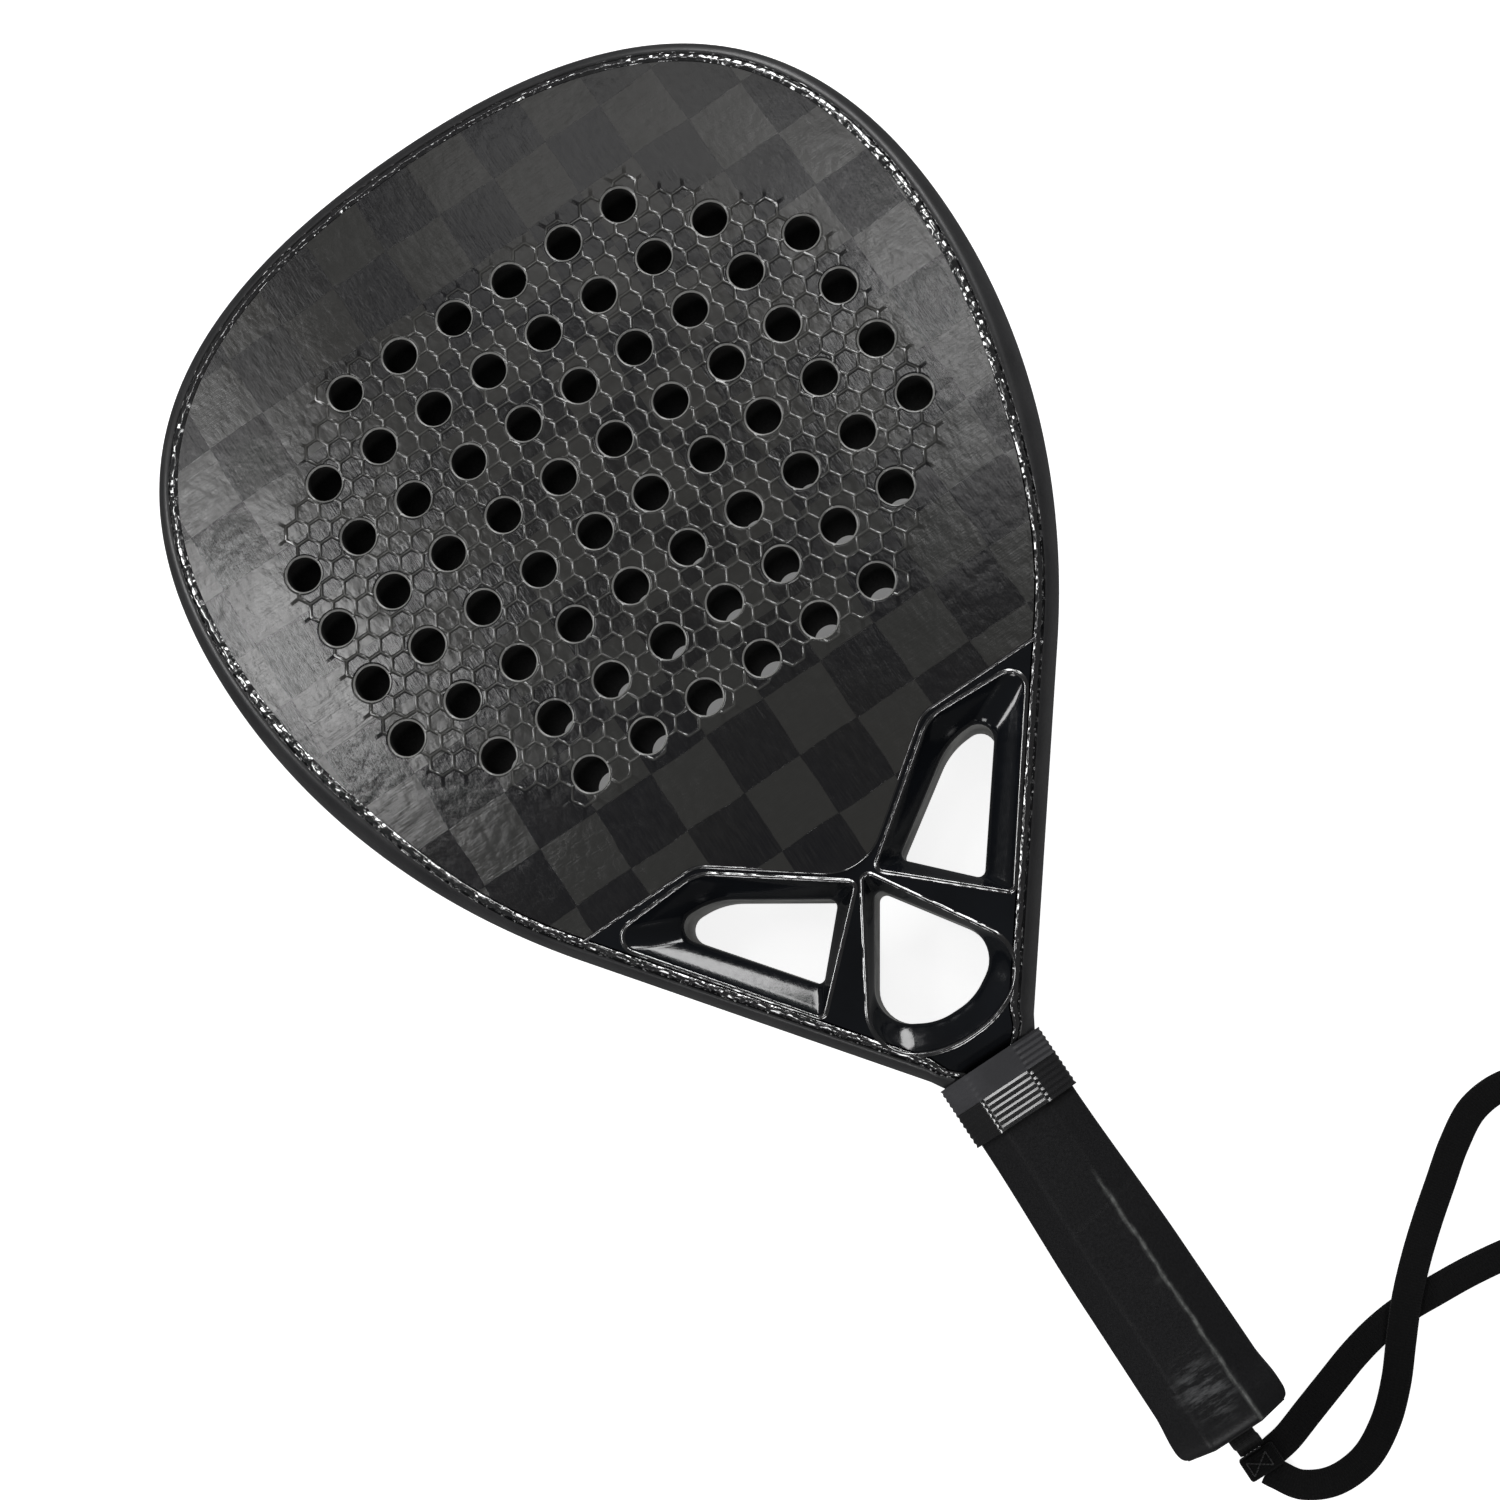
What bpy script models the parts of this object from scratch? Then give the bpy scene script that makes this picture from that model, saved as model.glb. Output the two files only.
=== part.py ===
"""Padel racket with a wrist strap, lying face up.

Metres. +Z is up and is the front face's normal, +Y runs from the butt to the head's tip,
and +X is to the right. The origin is under the middle of the racket, on the plane it lies on.

The racket is a bonded assembly: a carbon tube bent round the head whose two ends run down
the handle, a moulded throat yoke with three windows, a drilled foam core between two drilled
carbon faces, two foam pallets and a wrapped grip round the tube ends, a two-part rubber
collar, and a stapled butt cap that holds the strap's pin.
"""

import math

import bmesh
import bpy
from mathutils import Vector

# Driving dimensions
LENGTH = 0.445
WIDTH = 0.260
THICKNESS = 0.038
GAP = 0.0003  # between bonded pieces
PLAY = 0.0004  # round a pin or a wire in its hole
OVERRUN = 0.001  # how far a cutter runs past what it cuts

TIP_Y = LENGTH / 2
BUTT_Y = -LENGTH / 2
HALF = THICKNESS / 2

# Head outline: a drop shape, one half as two cubic curves and a straight leg
WIDEST_Y = TIP_Y - 0.1074
TIP_REACH = 0.0744
SHOULDER_REACH = 0.0814
CHEEK_REACH = 0.0471
LEG_TOP = Vector((0.0829, -0.0158))
LEG_TOP_REACH = 0.0486
LEG_FOOT = Vector((0.0175, -0.1000))
HEAD_STEPS = 14
CHEEK_STEPS = 10
LEG_SHARES = (0.0, 0.05, 0.065, 0.2, 0.4, 0.6, 0.8, 1.0)
LEDGE_OVERRUN = 0.0025

# Rim tube: how far inside the outline its bead and its inner wall lie
HEAD_BEAD = 0.0097
LEG_BEAD = 0.0060
HEAD_WALL = 0.0130
LEG_WALL = 0.0080
NARROWS_FROM_Y = 0.060
NARROWS_TO_Y = -0.010
BEAD_FLAT = 0.0018
RIM_SIDE = (  # up the outer side: shares of the bead's offset and of half the thickness
    (0.0, 0.0),
    (0.10, 0.42),
    (0.37, 0.74),
    (0.72, 0.945),
    (0.907, 1.0),
)

# The throat thins towards the collar
THROAT_TOP_Y = -0.0140
COLLAR_TOP_Y = -0.1038
COLLAR_HALF = 0.0155
NECK_HALF_X = 0.0152
NECK_HALF_Z = 0.0120
NECK_BEAD = 0.0075
NECK_WALL = 0.0092

# Tube ends inside the handle
SHAFT_HALF_X = 0.0086
SHAFT_HALF_Z = 0.0082
SHAFT_BEAD = 0.0020
SHAFT_TOP_Y = -0.1110
SHAFT_END_Y = -0.2030

# Faces, core and their holes
SKIN = 0.0012
SKIN_DROP = 0.0003
HOLE_PITCH = 0.0197
HOLE_RADIUS = 0.00525
HOLE_ROWS = (6, 8, 10, 10, 10, 10, 8, 6)
HOLES_Y = 0.0942
SKIN_HOLE_SIDES = 10
CORE_HOLE_SIDES = 8
CORE_HOLE_EXTRA = 0.0001

# Heart line: the lower edge of the faces, a wide V with flat shoulders
HEART_V_Y = -0.0424
HEART_SHOULDER = Vector((0.0385, -0.0138))
HEART_V_RADIUS = 0.016
HEART_SHOULDER_RADIUS = 0.010
FAR_CORNER_RADIUS = 0.001

# Windows: corners (x, y, radius) where the wall meets the front plane, and at mid-thickness
SIDE_WINDOW_FRONT = (
    (0.0038, -0.0428, 0.0015),
    (0.0395, -0.0163, 0.0120),
    (0.0708, -0.0178, 0.0040),
    (0.0318, -0.0688, 0.0015),
)
SIDE_WINDOW_MIDDLE = (
    (0.0103, -0.0433, 0.0022),
    (0.0400, -0.0236, 0.0100),
    (0.0573, -0.0228, 0.0035),
    (0.0273, -0.0613, 0.0020),
)
LOW_WINDOW_FRONT = (
    (0.0000, -0.0418, 0.0015),
    (-0.0262, -0.0850, 0.0090),
    (-0.0090, -0.0952, 0.0180),
    (0.0090, -0.0952, 0.0180),
    (0.0262, -0.0850, 0.0090),
)
LOW_WINDOW_MIDDLE = (
    (0.0000, -0.0463, 0.0020),
    (-0.0200, -0.0760, 0.0060),
    (-0.0060, -0.0856, 0.0120),
    (0.0060, -0.0856, 0.0120),
    (0.0200, -0.0760, 0.0060),
)
CORNER_STEPS = 4
WINDOW_OVERRUN = 1.12

# Handle: an eight-sided section that widens towards the butt
GRIP_TOP_Y = -0.1130
GRIP_END_Y = BUTT_Y + GAP
GRIP_HALF_X = 0.0165
GRIP_HALF_Z = 0.0150
GRIP_CORNER = 0.0225
GRIP_WALL = 0.0015
GRIP_STATIONS = (  # (y, scale)
    (GRIP_TOP_Y, 0.92),
    (-0.1240, 0.92),
    (-0.1750, 0.99),
    (-0.2080, 1.00),
    (-0.2180, 1.05),
    (GRIP_END_Y, 1.05),
)
PALLET_TOP_Y = -0.1114
PALLET_END_Y = -0.2169
CHANNEL_PLAY = 0.0003

# Rubber collar: a matte sleeve above a glossy ribbed ring
SLEEVE_END_Y = -0.1117
RING_TOP_Y = -0.1120
RING_END_Y = -0.1223
SLEEVE_RIBS = 5
RING_RIBS = 6
RIB_HEIGHT = 0.0007
RIB_FLANK = 0.3  # share of a rib's pitch from its crest to the groove
SLEEVE_BORE_TOP = 0.0009
SLEEVE_BORE_END = 0.0024
RING_BORE = 0.0011
COLLAR_HALF_X = 0.0166
COLLAR_HALF_Z = 0.0151
COLLAR_CORNER = 0.0232

# Butt cap, its staples and the strap's pin
CAP_HALF_X = 0.0155
CAP_HALF_Z = 0.0138
CAP_CORNER = 0.0212
CAP_INNER_Y = -0.2172
SLOT_HALF_X = 0.0056
SLOT_HALF_Z = 0.0024
SLOT_END_RADIUS = 0.0016
LUG_X = 0.0066
LUG_THICKNESS = 0.0022
LUG_END_Y = -0.2062
LUG_HALF_Z = 0.0034
LUG_ROOT = 0.0020
PIN_Y = -0.2098
PIN_RADIUS = 0.0015
PIN_LENGTH = 0.0160
PIN_SIDES = 12
STAPLE_SPAN = 0.008
STAPLE_Z = 0.0108
STAPLE_WIRE = 0.0005
STAPLE_LENGTH = 0.0085
STAPLE_SUNK = 0.0004

# Wrist strap: flat webbing that leaves the butt, falls to the ground and loops back
STRAP_WIDTH = 0.0084
STRAP_THICKNESS = 0.0016
LEAD_THICKNESS = 0.0022
SWING_Y = -0.2200
FOLD_END_Y = -0.2172
FOLD_PINCH = 0.0040
FOLD_PINCH_Z = 0.0012
FOLD_TURN = math.radians(198)
FOLD_STEPS = 8
POINT_SPACING = 0.0085
LEAD_ROUTE = (  # (y, z) down the middle of the doubled lead
    (-0.2200, 0.0190),
    (-0.2228, 0.0189),
    (-0.2252, 0.0181),
    (-0.2272, 0.0160),
    (-0.2283, 0.0128),
    (-0.2290, 0.0094),
    (-0.2299, 0.0060),
    (-0.2313, 0.0034),
    (-0.2328, 0.0027),
)
TAB_CENTRE = (-0.0004, -0.2370)
TAB_SIZE = (0.0094, 0.0068, 0.0040)
TAB_BASE_Z = 0.0004
TAB_EDGE = 0.0006
LOOP_ROUTE = (  # (x, y, z) once round the loop, from the tab's side to the tab's end
    (0.0052, -0.2362, 0.0024),
    (0.0105, -0.2354, 0.0019),
    (0.0190, -0.2328, 0.0013),
    (0.0290, -0.2297, 0.0011),
    (0.0385, -0.2268, 0.0011),
    (0.0480, -0.2248, 0.0011),
    (0.0575, -0.2240, 0.0011),
    (0.0670, -0.2244, 0.0011),
    (0.0770, -0.2250, 0.0011),
    (0.0870, -0.2262, 0.0011),
    (0.0970, -0.2280, 0.0011),
    (0.1075, -0.2290, 0.0011),
    (0.1180, -0.2268, 0.0011),
    (0.1268, -0.2208, 0.0011),
    (0.1320, -0.2118, 0.0011),
    (0.1318, -0.2012, 0.0011),
    (0.1258, -0.1926, 0.0011),
    (0.1160, -0.1884, 0.0011),
    (0.1050, -0.1890, 0.0011),
    (0.0950, -0.1942, 0.0011),
    (0.0855, -0.2010, 0.0011),
    (0.0765, -0.2075, 0.0015),
    (0.0675, -0.2144, 0.0027),
    (0.0590, -0.2219, 0.0034),
    (0.0512, -0.2304, 0.0030),
    (0.0436, -0.2390, 0.0018),
    (0.0350, -0.2464, 0.0011),
    (0.0250, -0.2514, 0.0011),
    (0.0145, -0.2520, 0.0012),
    (0.0062, -0.2482, 0.0018),
    (0.0020, -0.2422, 0.0024),
)

SWINGING = ("strap_lead", "strap_tab", "wrist_strap")

LOOKS = {  # (colour, roughness, metallic)
    "frame_tube": ((0.030, 0.030, 0.032), 0.45, 0.0),
    "throat_yoke": ((0.008, 0.009, 0.011), 0.18, 0.0),
    "foam_core": ((0.010, 0.010, 0.010), 0.85, 0.0),
    "front_face": ((0.022, 0.022, 0.022), 0.25, 0.0),
    "rear_face": ((0.022, 0.022, 0.022), 0.25, 0.0),
    "front_pallet": ((0.350, 0.330, 0.260), 0.85, 0.0),
    "rear_pallet": ((0.350, 0.330, 0.260), 0.85, 0.0),
    "base_grip": ((0.008, 0.008, 0.008), 0.50, 0.0),
    "collar_sleeve": ((0.030, 0.030, 0.033), 0.70, 0.0),
    "collar_ring": ((0.006, 0.006, 0.006), 0.25, 0.0),
    "butt_cap": ((0.010, 0.010, 0.010), 0.45, 0.0),
    "front_staple": ((0.550, 0.550, 0.560), 0.30, 1.0),
    "rear_staple": ((0.550, 0.550, 0.560), 0.30, 1.0),
    "strap_pin": ((0.550, 0.550, 0.560), 0.30, 1.0),
    "strap_end_fold": ((0.006, 0.006, 0.006), 0.90, 0.0),
    "strap_lead": ((0.006, 0.006, 0.006), 0.90, 0.0),
    "strap_tab": ((0.006, 0.006, 0.006), 0.90, 0.0),
    "wrist_strap": ((0.006, 0.006, 0.006), 0.90, 0.0),
}


def clear_scene():
    for thing in list(bpy.data.objects):
        bpy.data.objects.remove(thing, do_unlink=True)


def new_collection(name):
    collection = bpy.data.collections.new(name)
    bpy.context.scene.collection.children.link(collection)
    return collection


def new_material(name, color, roughness, metallic=0.0):
    material = bpy.data.materials.new(name)
    material.use_nodes = True
    shader = material.node_tree.nodes["Principled BSDF"]
    shader.inputs["Base Color"].default_value = (*color, 1.0)
    shader.inputs["Roughness"].default_value = roughness
    shader.inputs["Metallic"].default_value = metallic
    return material


def add_mesh(name, mesh, collection):
    part = bpy.data.objects.new(name, mesh)
    collection.objects.link(part)
    return part


def mesh_from_bmesh(name, form):
    bmesh.ops.recalc_face_normals(form, faces=form.faces)
    mesh = bpy.data.meshes.new(name)
    form.to_mesh(mesh)
    form.free()
    return mesh


def curve_to_mesh(curve_object, collection):
    """The curve as a welded mesh object of the same name and place."""
    name = curve_object.name
    collection_of_curve = curve_object.users_collection[0]
    view = bpy.context.evaluated_depsgraph_get()
    mesh = bpy.data.meshes.new_from_object(curve_object.evaluated_get(view))
    mesh.transform(curve_object.matrix_world)
    form = bmesh.new()
    form.from_mesh(mesh)
    bmesh.ops.remove_doubles(form, verts=form.verts, dist=0.000001)
    bmesh.ops.recalc_face_normals(form, faces=form.faces)
    form.to_mesh(mesh)
    form.free()
    collection_of_curve.objects.unlink(curve_object)
    bpy.data.objects.remove(curve_object)
    mesh.name = name
    return add_mesh(name, mesh, collection)


def flat_plate(name, outlines, low, high, collection):
    """A plate between two heights, from its outline and its holes' outlines."""
    curve = bpy.data.curves.new(name, "CURVE")
    curve.dimensions = "2D"
    curve.fill_mode = "BOTH"
    curve.extrude = (high - low) / 2
    for outline in outlines:
        spline = curve.splines.new("POLY")
        spline.points.add(len(outline) - 1)
        for point, (x, y) in zip(spline.points, outline):
            point.co = (x, y, 0.0, 1.0)
        spline.use_cyclic_u = True
    plate = bpy.data.objects.new(name, curve)
    plate.location.z = (high + low) / 2
    collection.objects.link(plate)
    bpy.context.view_layer.update()
    return curve_to_mesh(plate, collection)


def ribbon(name, route, width, thickness, collection, upright=False):
    """Flat webbing along a route: lying flat on XY, or upright with its width along X."""
    curve = bpy.data.curves.new(name, "CURVE")
    curve.dimensions = "3D"
    curve.twist_mode = "Z_UP"
    curve.extrude = (width - thickness) / 2
    curve.bevel_depth = thickness / 2
    curve.bevel_resolution = 1
    curve.use_fill_caps = True
    spline = curve.splines.new("POLY")
    spline.points.add(len(route) - 1)
    for point, place in zip(spline.points, route):
        point.co = (*place, 1.0)
        point.tilt = 0.0 if upright else math.pi / 2
    strap = bpy.data.objects.new(name, curve)
    if upright:
        strap.rotation_euler = (math.pi / 2, 0.0, math.pi / 2)
    collection.objects.link(strap)
    bpy.context.view_layer.update()
    return strap


def box(name, low, high, collection):
    bpy.ops.mesh.primitive_cube_add(size=1.0)
    block = bpy.context.object
    block.name = name
    block.data.name = name
    for old in list(block.users_collection):
        old.objects.unlink(block)
    collection.objects.link(block)
    size = [b - a for a, b in zip(low, high)]
    centre = [(a + b) / 2 for a, b in zip(low, high)]
    for vertex in block.data.vertices:
        vertex.co = [c * s + m for c, s, m in zip(vertex.co, size, centre)]
    return block


def rod_along_x(name, radius, length, y, z, sides, collection):
    bpy.ops.mesh.primitive_cylinder_add(
        vertices=sides, radius=radius, depth=length, location=(0.0, y, z),
        rotation=(0.0, math.pi / 2, 0.0),
    )
    rod = bpy.context.object
    rod.name = name
    rod.data.name = name
    for old in list(rod.users_collection):
        old.objects.unlink(rod)
    collection.objects.link(rod)
    return rod


def as_cutter(tool):
    tool.hide_render = True
    tool.display_type = "WIRE"
    return tool


def boolean(part, tool, operation="DIFFERENCE"):
    change = part.modifiers.new(tool.name, "BOOLEAN")
    change.operation = operation
    change.object = tool
    change.solver = "EXACT"


def rounded(corners, steps=CORNER_STEPS):
    """The outline of a polygon whose corners (x, y, radius) are rounded with arcs."""
    outline = []
    count = len(corners)
    for index, (x, y, radius) in enumerate(corners):
        corner = Vector((x, y))
        before = (Vector(corners[index - 1][:2]) - corner).normalized()
        after = (Vector(corners[(index + 1) % count][:2]) - corner).normalized()
        half_angle = before.angle(after) / 2
        centre = corner + (before + after).normalized() * radius / math.sin(half_angle)
        start = corner + before * radius / math.tan(half_angle) - centre
        turn = start.angle_signed(corner + after * radius / math.tan(half_angle) - centre)
        for step in range(steps + 1):
            angle = -turn * step / steps
            spoke = Vector((
                start.x * math.cos(angle) - start.y * math.sin(angle),
                start.x * math.sin(angle) + start.y * math.cos(angle),
            ))
            outline.append(tuple(centre + spoke))
    return outline


def cubic(a, b, c, d, t):
    s = 1.0 - t
    return a * s ** 3 + b * 3 * s * s * t + c * 3 * s * t * t + d * t ** 3


def slope_between(y, top, foot, at_top, at_foot):
    """A value that goes smoothly from at_foot to at_top as y goes from foot to top."""
    t = min(max((y - foot) / (top - foot), 0.0), 1.0)
    t = t * t * (3.0 - 2.0 * t)
    return at_foot + (at_top - at_foot) * t


def half_thickness(y):
    """Half the racket's thickness at y: full over the head, thinner towards the collar."""
    t = min(max((THROAT_TOP_Y - y) / (THROAT_TOP_Y - COLLAR_TOP_Y), 0.0), 1.0)
    return HALF + (COLLAR_HALF - HALF) * t


def outline_half():
    """Points down the right half of the outline, from the tip to the leg's foot."""
    leg_direction = (LEG_TOP - LEG_FOOT).normalized()
    head = (
        Vector((0.0, TIP_Y)),
        Vector((TIP_REACH, TIP_Y)),
        Vector((WIDTH / 2, WIDEST_Y + SHOULDER_REACH)),
        Vector((WIDTH / 2, WIDEST_Y)),
    )
    cheek = (
        head[3],
        Vector((WIDTH / 2, WIDEST_Y - CHEEK_REACH)),
        LEG_TOP + leg_direction * LEG_TOP_REACH,
        LEG_TOP,
    )
    points = [cubic(*head, step / HEAD_STEPS) for step in range(HEAD_STEPS)]
    points += [cubic(*cheek, step / CHEEK_STEPS) for step in range(CHEEK_STEPS)]
    points += [LEG_TOP.lerp(LEG_FOOT, share) for share in LEG_SHARES]
    return points


def inward(points, index):
    """The unit vector into the racket, square to the right half's outline at a point."""
    if index == 0:
        return Vector((0.0, -1.0))
    before = points[index - 1]
    after = points[min(index + 1, len(points) - 1)]
    along = (after - before).normalized()
    return Vector((along.y, -along.x))


def bead_offset(y):
    return slope_between(y, NARROWS_FROM_Y, NARROWS_TO_Y, HEAD_BEAD, LEG_BEAD)


def wall_offset(y):
    return slope_between(y, NARROWS_FROM_Y, NARROWS_TO_Y, HEAD_WALL, LEG_WALL)


def inset_half(offset):
    """The right half's outline moved inwards by offset(y)."""
    points = outline_half()
    return [p + inward(points, i) * offset(p.y) for i, p in enumerate(points)]


def cut_below(points, lowest):
    """The points down to a height, ending exactly on it."""
    kept = []
    for point in points:
        if point.y <= lowest:
            above = kept[-1]
            kept.append(above.lerp(point, (above.y - lowest) / (above.y - point.y)))
            break
        kept.append(point)
    return kept


def heart_line(drop):
    """The lower edge of the faces from left to right, lowered by drop, without its ends."""
    slope = (HEART_SHOULDER.y - HEART_V_Y) / HEART_SHOULDER.x
    v_y = HEART_V_Y - drop * math.hypot(1.0, slope)
    shoulder_y = HEART_SHOULDER.y - drop
    shoulder_x = (shoulder_y - v_y) / slope
    far = WIDTH / 2
    corners = (
        (-far, shoulder_y, FAR_CORNER_RADIUS),
        (-shoulder_x, shoulder_y, HEART_SHOULDER_RADIUS),
        (0.0, v_y, HEART_V_RADIUS),
        (shoulder_x, shoulder_y, HEART_SHOULDER_RADIUS),
        (far, shoulder_y, FAR_CORNER_RADIUS),
        (0.0, -far, FAR_CORNER_RADIUS),
    )
    per_corner = CORNER_STEPS + 1
    return rounded(corners)[per_corner:4 * per_corner]


def face_outline(offset, drop):
    """The outline of a face or of the core, anticlockwise from the right foot."""
    right = cut_below(inset_half(offset), HEART_SHOULDER.y - drop)
    up = [(p.x, p.y) for p in reversed(right)]
    down = [(-p.x, p.y) for p in right[1:]]
    return up + down + heart_line(drop)


def holes(radius, sides):
    rows = len(HOLE_ROWS)
    for row, count in enumerate(HOLE_ROWS):
        y = HOLES_Y + ((rows - 1) / 2 - row) * HOLE_PITCH
        for place in range(count):
            x = (place - (count - 1) / 2) * HOLE_PITCH
            yield [
                (
                    x + radius * math.cos(math.tau * (side + 0.5) / sides),
                    y + radius * math.sin(math.tau * (side + 0.5) / sides),
                )
                for side in range(sides)
            ]


def skin_offset(y):
    return bead_offset(y) + BEAD_FLAT / 2 + 2 * GAP


def core_offset(y):
    return wall_offset(y) + GAP


def rim_section(bead, wall, half, step):
    """The tube's section as (inwards, height) points; step is the height of its inner ledge."""
    top = [(u * bead, h * half) for u, h in RIM_SIDE]
    lip = bead + BEAD_FLAT / 2
    top += [(lip, half), (lip + GAP, step), (wall, step)]
    return top + [(u, -h) for u, h in reversed(top[1:])]


def rim_rings():
    """Rings of the right half of the tube, from the tip to its end in the handle."""
    points = outline_half()
    rings = []
    for index, point in enumerate(points):
        ledge = point + inward(points, index) * (bead_offset(point.y) + BEAD_FLAT / 2)
        under_face = ledge.y > HEART_SHOULDER.y - LEDGE_OVERRUN
        half = half_thickness(point.y)
        step = HALF - SKIN_DROP - SKIN - GAP if under_face else half
        foot = index == len(points) - 1
        into = Vector((-1.0, 0.0)) if foot else inward(points, index)
        section = rim_section(bead_offset(point.y), wall_offset(point.y), half, step)
        rings.append([
            (point.x + into.x * u, point.y + into.y * u, HALF + h) for u, h in section
        ])
    neck = (NECK_HALF_X, COLLAR_TOP_Y, NECK_BEAD, NECK_WALL, NECK_HALF_Z)
    shaft = (SHAFT_HALF_X, SHAFT_TOP_Y, SHAFT_BEAD, SHAFT_HALF_X - GAP, SHAFT_HALF_Z)
    end = (SHAFT_HALF_X, SHAFT_END_Y, SHAFT_BEAD, SHAFT_HALF_X - GAP, SHAFT_HALF_Z)
    for x, y, bead, wall, half in (neck, shaft, end):
        section = rim_section(bead, wall, half, half)
        rings.append([(x - u, y, HALF + h) for u, h in section])
    return rings


def loft(name, rings, collection, ring_closed=False):
    """A solid through rings of points, capped at both ends or joined end to end."""
    form = bmesh.new()
    rows = [[form.verts.new(place) for place in ring] for ring in rings]
    count = len(rows[0])
    pairs = list(zip(rows, rows[1:]))
    if ring_closed:
        pairs.append((rows[-1], rows[0]))
    for first, second in pairs:
        for i in range(count):
            j = (i + 1) % count
            form.faces.new((first[i], first[j], second[j], second[i]))
    if not ring_closed:
        form.faces.new(rows[0])
        form.faces.new(rows[-1])
    return add_mesh(name, mesh_from_bmesh(name, form), collection)


def frame_tube(parts):
    right = rim_rings()
    left = [[(-x, y, z) for x, y, z in ring] for ring in right[1:]]
    tube = loft("frame_tube", list(reversed(left)) + right, parts)
    tube.data.shade_smooth()
    tube.data.set_sharp_from_angle(angle=math.radians(40))
    return tube


def window_cutter(name, front, middle, tools):
    """A window with walls that close in to mid-thickness from both faces."""
    face = rounded(front)
    waist = rounded(middle)
    wide = [
        (m[0] + (f[0] - m[0]) * WINDOW_OVERRUN, m[1] + (f[1] - m[1]) * WINDOW_OVERRUN)
        for f, m in zip(face, waist)
    ]
    reach = HALF * WINDOW_OVERRUN
    rings = [
        [(x, y, HALF - reach) for x, y in wide],
        [(x, y, HALF) for x, y in waist],
        [(x, y, HALF + reach) for x, y in wide],
    ]
    return as_cutter(loft(name, rings, tools))


def mirrored_corners(corners):
    return tuple((-x, y, radius) for x, y, radius in reversed(corners))


def throat_yoke(parts, tools):
    inner = inset_half(lambda y: wall_offset(y) + GAP)
    legs = [p for p in inner if p.y < HEART_SHOULDER.y - GAP]
    top_y = HEART_SHOULDER.y - GAP
    first = cut_below(inner, top_y)[-1]
    foot = Vector((LEG_FOOT.x - LEG_WALL - 2 * GAP, LEG_FOOT.y))
    side = [first] + legs[:-1] + [foot]
    right = [(p.x, p.y) for p in side]
    left = [(-x, y) for x, y in right]
    outline = heart_line(GAP) + right + list(reversed(left))
    yoke = flat_plate("throat_yoke", [outline], 0.0, THICKNESS, parts)
    cutters = (
        window_cutter("right_window", SIDE_WINDOW_FRONT, SIDE_WINDOW_MIDDLE, tools),
        window_cutter(
            "left_window",
            mirrored_corners(SIDE_WINDOW_FRONT),
            mirrored_corners(SIDE_WINDOW_MIDDLE),
            tools,
        ),
        window_cutter("low_window", LOW_WINDOW_FRONT, LOW_WINDOW_MIDDLE, tools),
    )
    for cutter in cutters:
        boolean(yoke, cutter)
    bpy.context.view_layer.update()
    view = bpy.context.evaluated_depsgraph_get()
    mesh = bpy.data.meshes.new_from_object(yoke.evaluated_get(view))
    yoke.modifiers.clear()
    yoke.data = mesh
    for vertex in mesh.vertices:
        share = half_thickness(vertex.co.y) / HALF
        vertex.co.z = HALF + (vertex.co.z - HALF) * share
    return yoke


def drilled_plate(name, offset, drop, low, high, radius, sides, parts):
    outlines = [face_outline(offset, drop), *holes(radius, sides)]
    return flat_plate(name, outlines, low, high, parts)


def octagon(y, half_x, half_z, corner):
    """An eight-sided handle section; corner is x + z along its slanted sides."""
    quarter = [(half_x, corner - half_x), (corner - half_z, half_z)]
    upper = quarter + [(-x, z) for x, z in reversed(quarter)]
    ring = upper + [(-x, -z) for x, z in upper]
    return [(x, y, HALF + z) for x, z in ring]


def grip_section(y, scale, inset=0.0):
    """The grip's section at a station, or the same section moved inwards."""
    return octagon(
        y,
        GRIP_HALF_X * scale - inset,
        GRIP_HALF_Z * scale - inset,
        GRIP_CORNER * scale - inset * math.sqrt(2),
    )


def base_grip(parts):
    outside = [grip_section(y, scale) for y, scale in GRIP_STATIONS]
    inside = [grip_section(y, scale, GRIP_WALL) for y, scale in reversed(GRIP_STATIONS)]
    return loft("base_grip", outside + inside, parts, ring_closed=True)


def pallet(name, side, parts, tools):
    """Half of the handle's foam; side is 1 for the front half and -1 for the rear half."""
    inset = GRIP_WALL + GAP
    stations = [(PALLET_TOP_Y, GRIP_STATIONS[0][1]), *GRIP_STATIONS[1:-1]]
    stations = [(max(y, PALLET_END_Y), scale) for y, scale in stations]
    rings = [grip_section(y, scale, inset) for y, scale in stations]
    block = loft(name, rings, parts)
    channel_x = SHAFT_HALF_X + CHANNEL_PLAY
    channel_z = SHAFT_HALF_Z + CHANNEL_PLAY
    channel = box(
        name + "_channel",
        (-channel_x, -LENGTH, HALF - channel_z),
        (channel_x, 0.0, HALF + channel_z),
        tools,
    )
    split = HALF + side * GAP / 2
    far = HALF - side * THICKNESS
    other_half = box(
        name + "_split",
        (-WIDTH, -LENGTH, min(split, far)),
        (WIDTH, 0.0, max(split, far)),
        tools,
    )
    boolean(block, as_cutter(channel))
    boolean(block, as_cutter(other_half))
    for cutter in staple_holes(name, side, tools):
        boolean(block, cutter)
    return block


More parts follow.
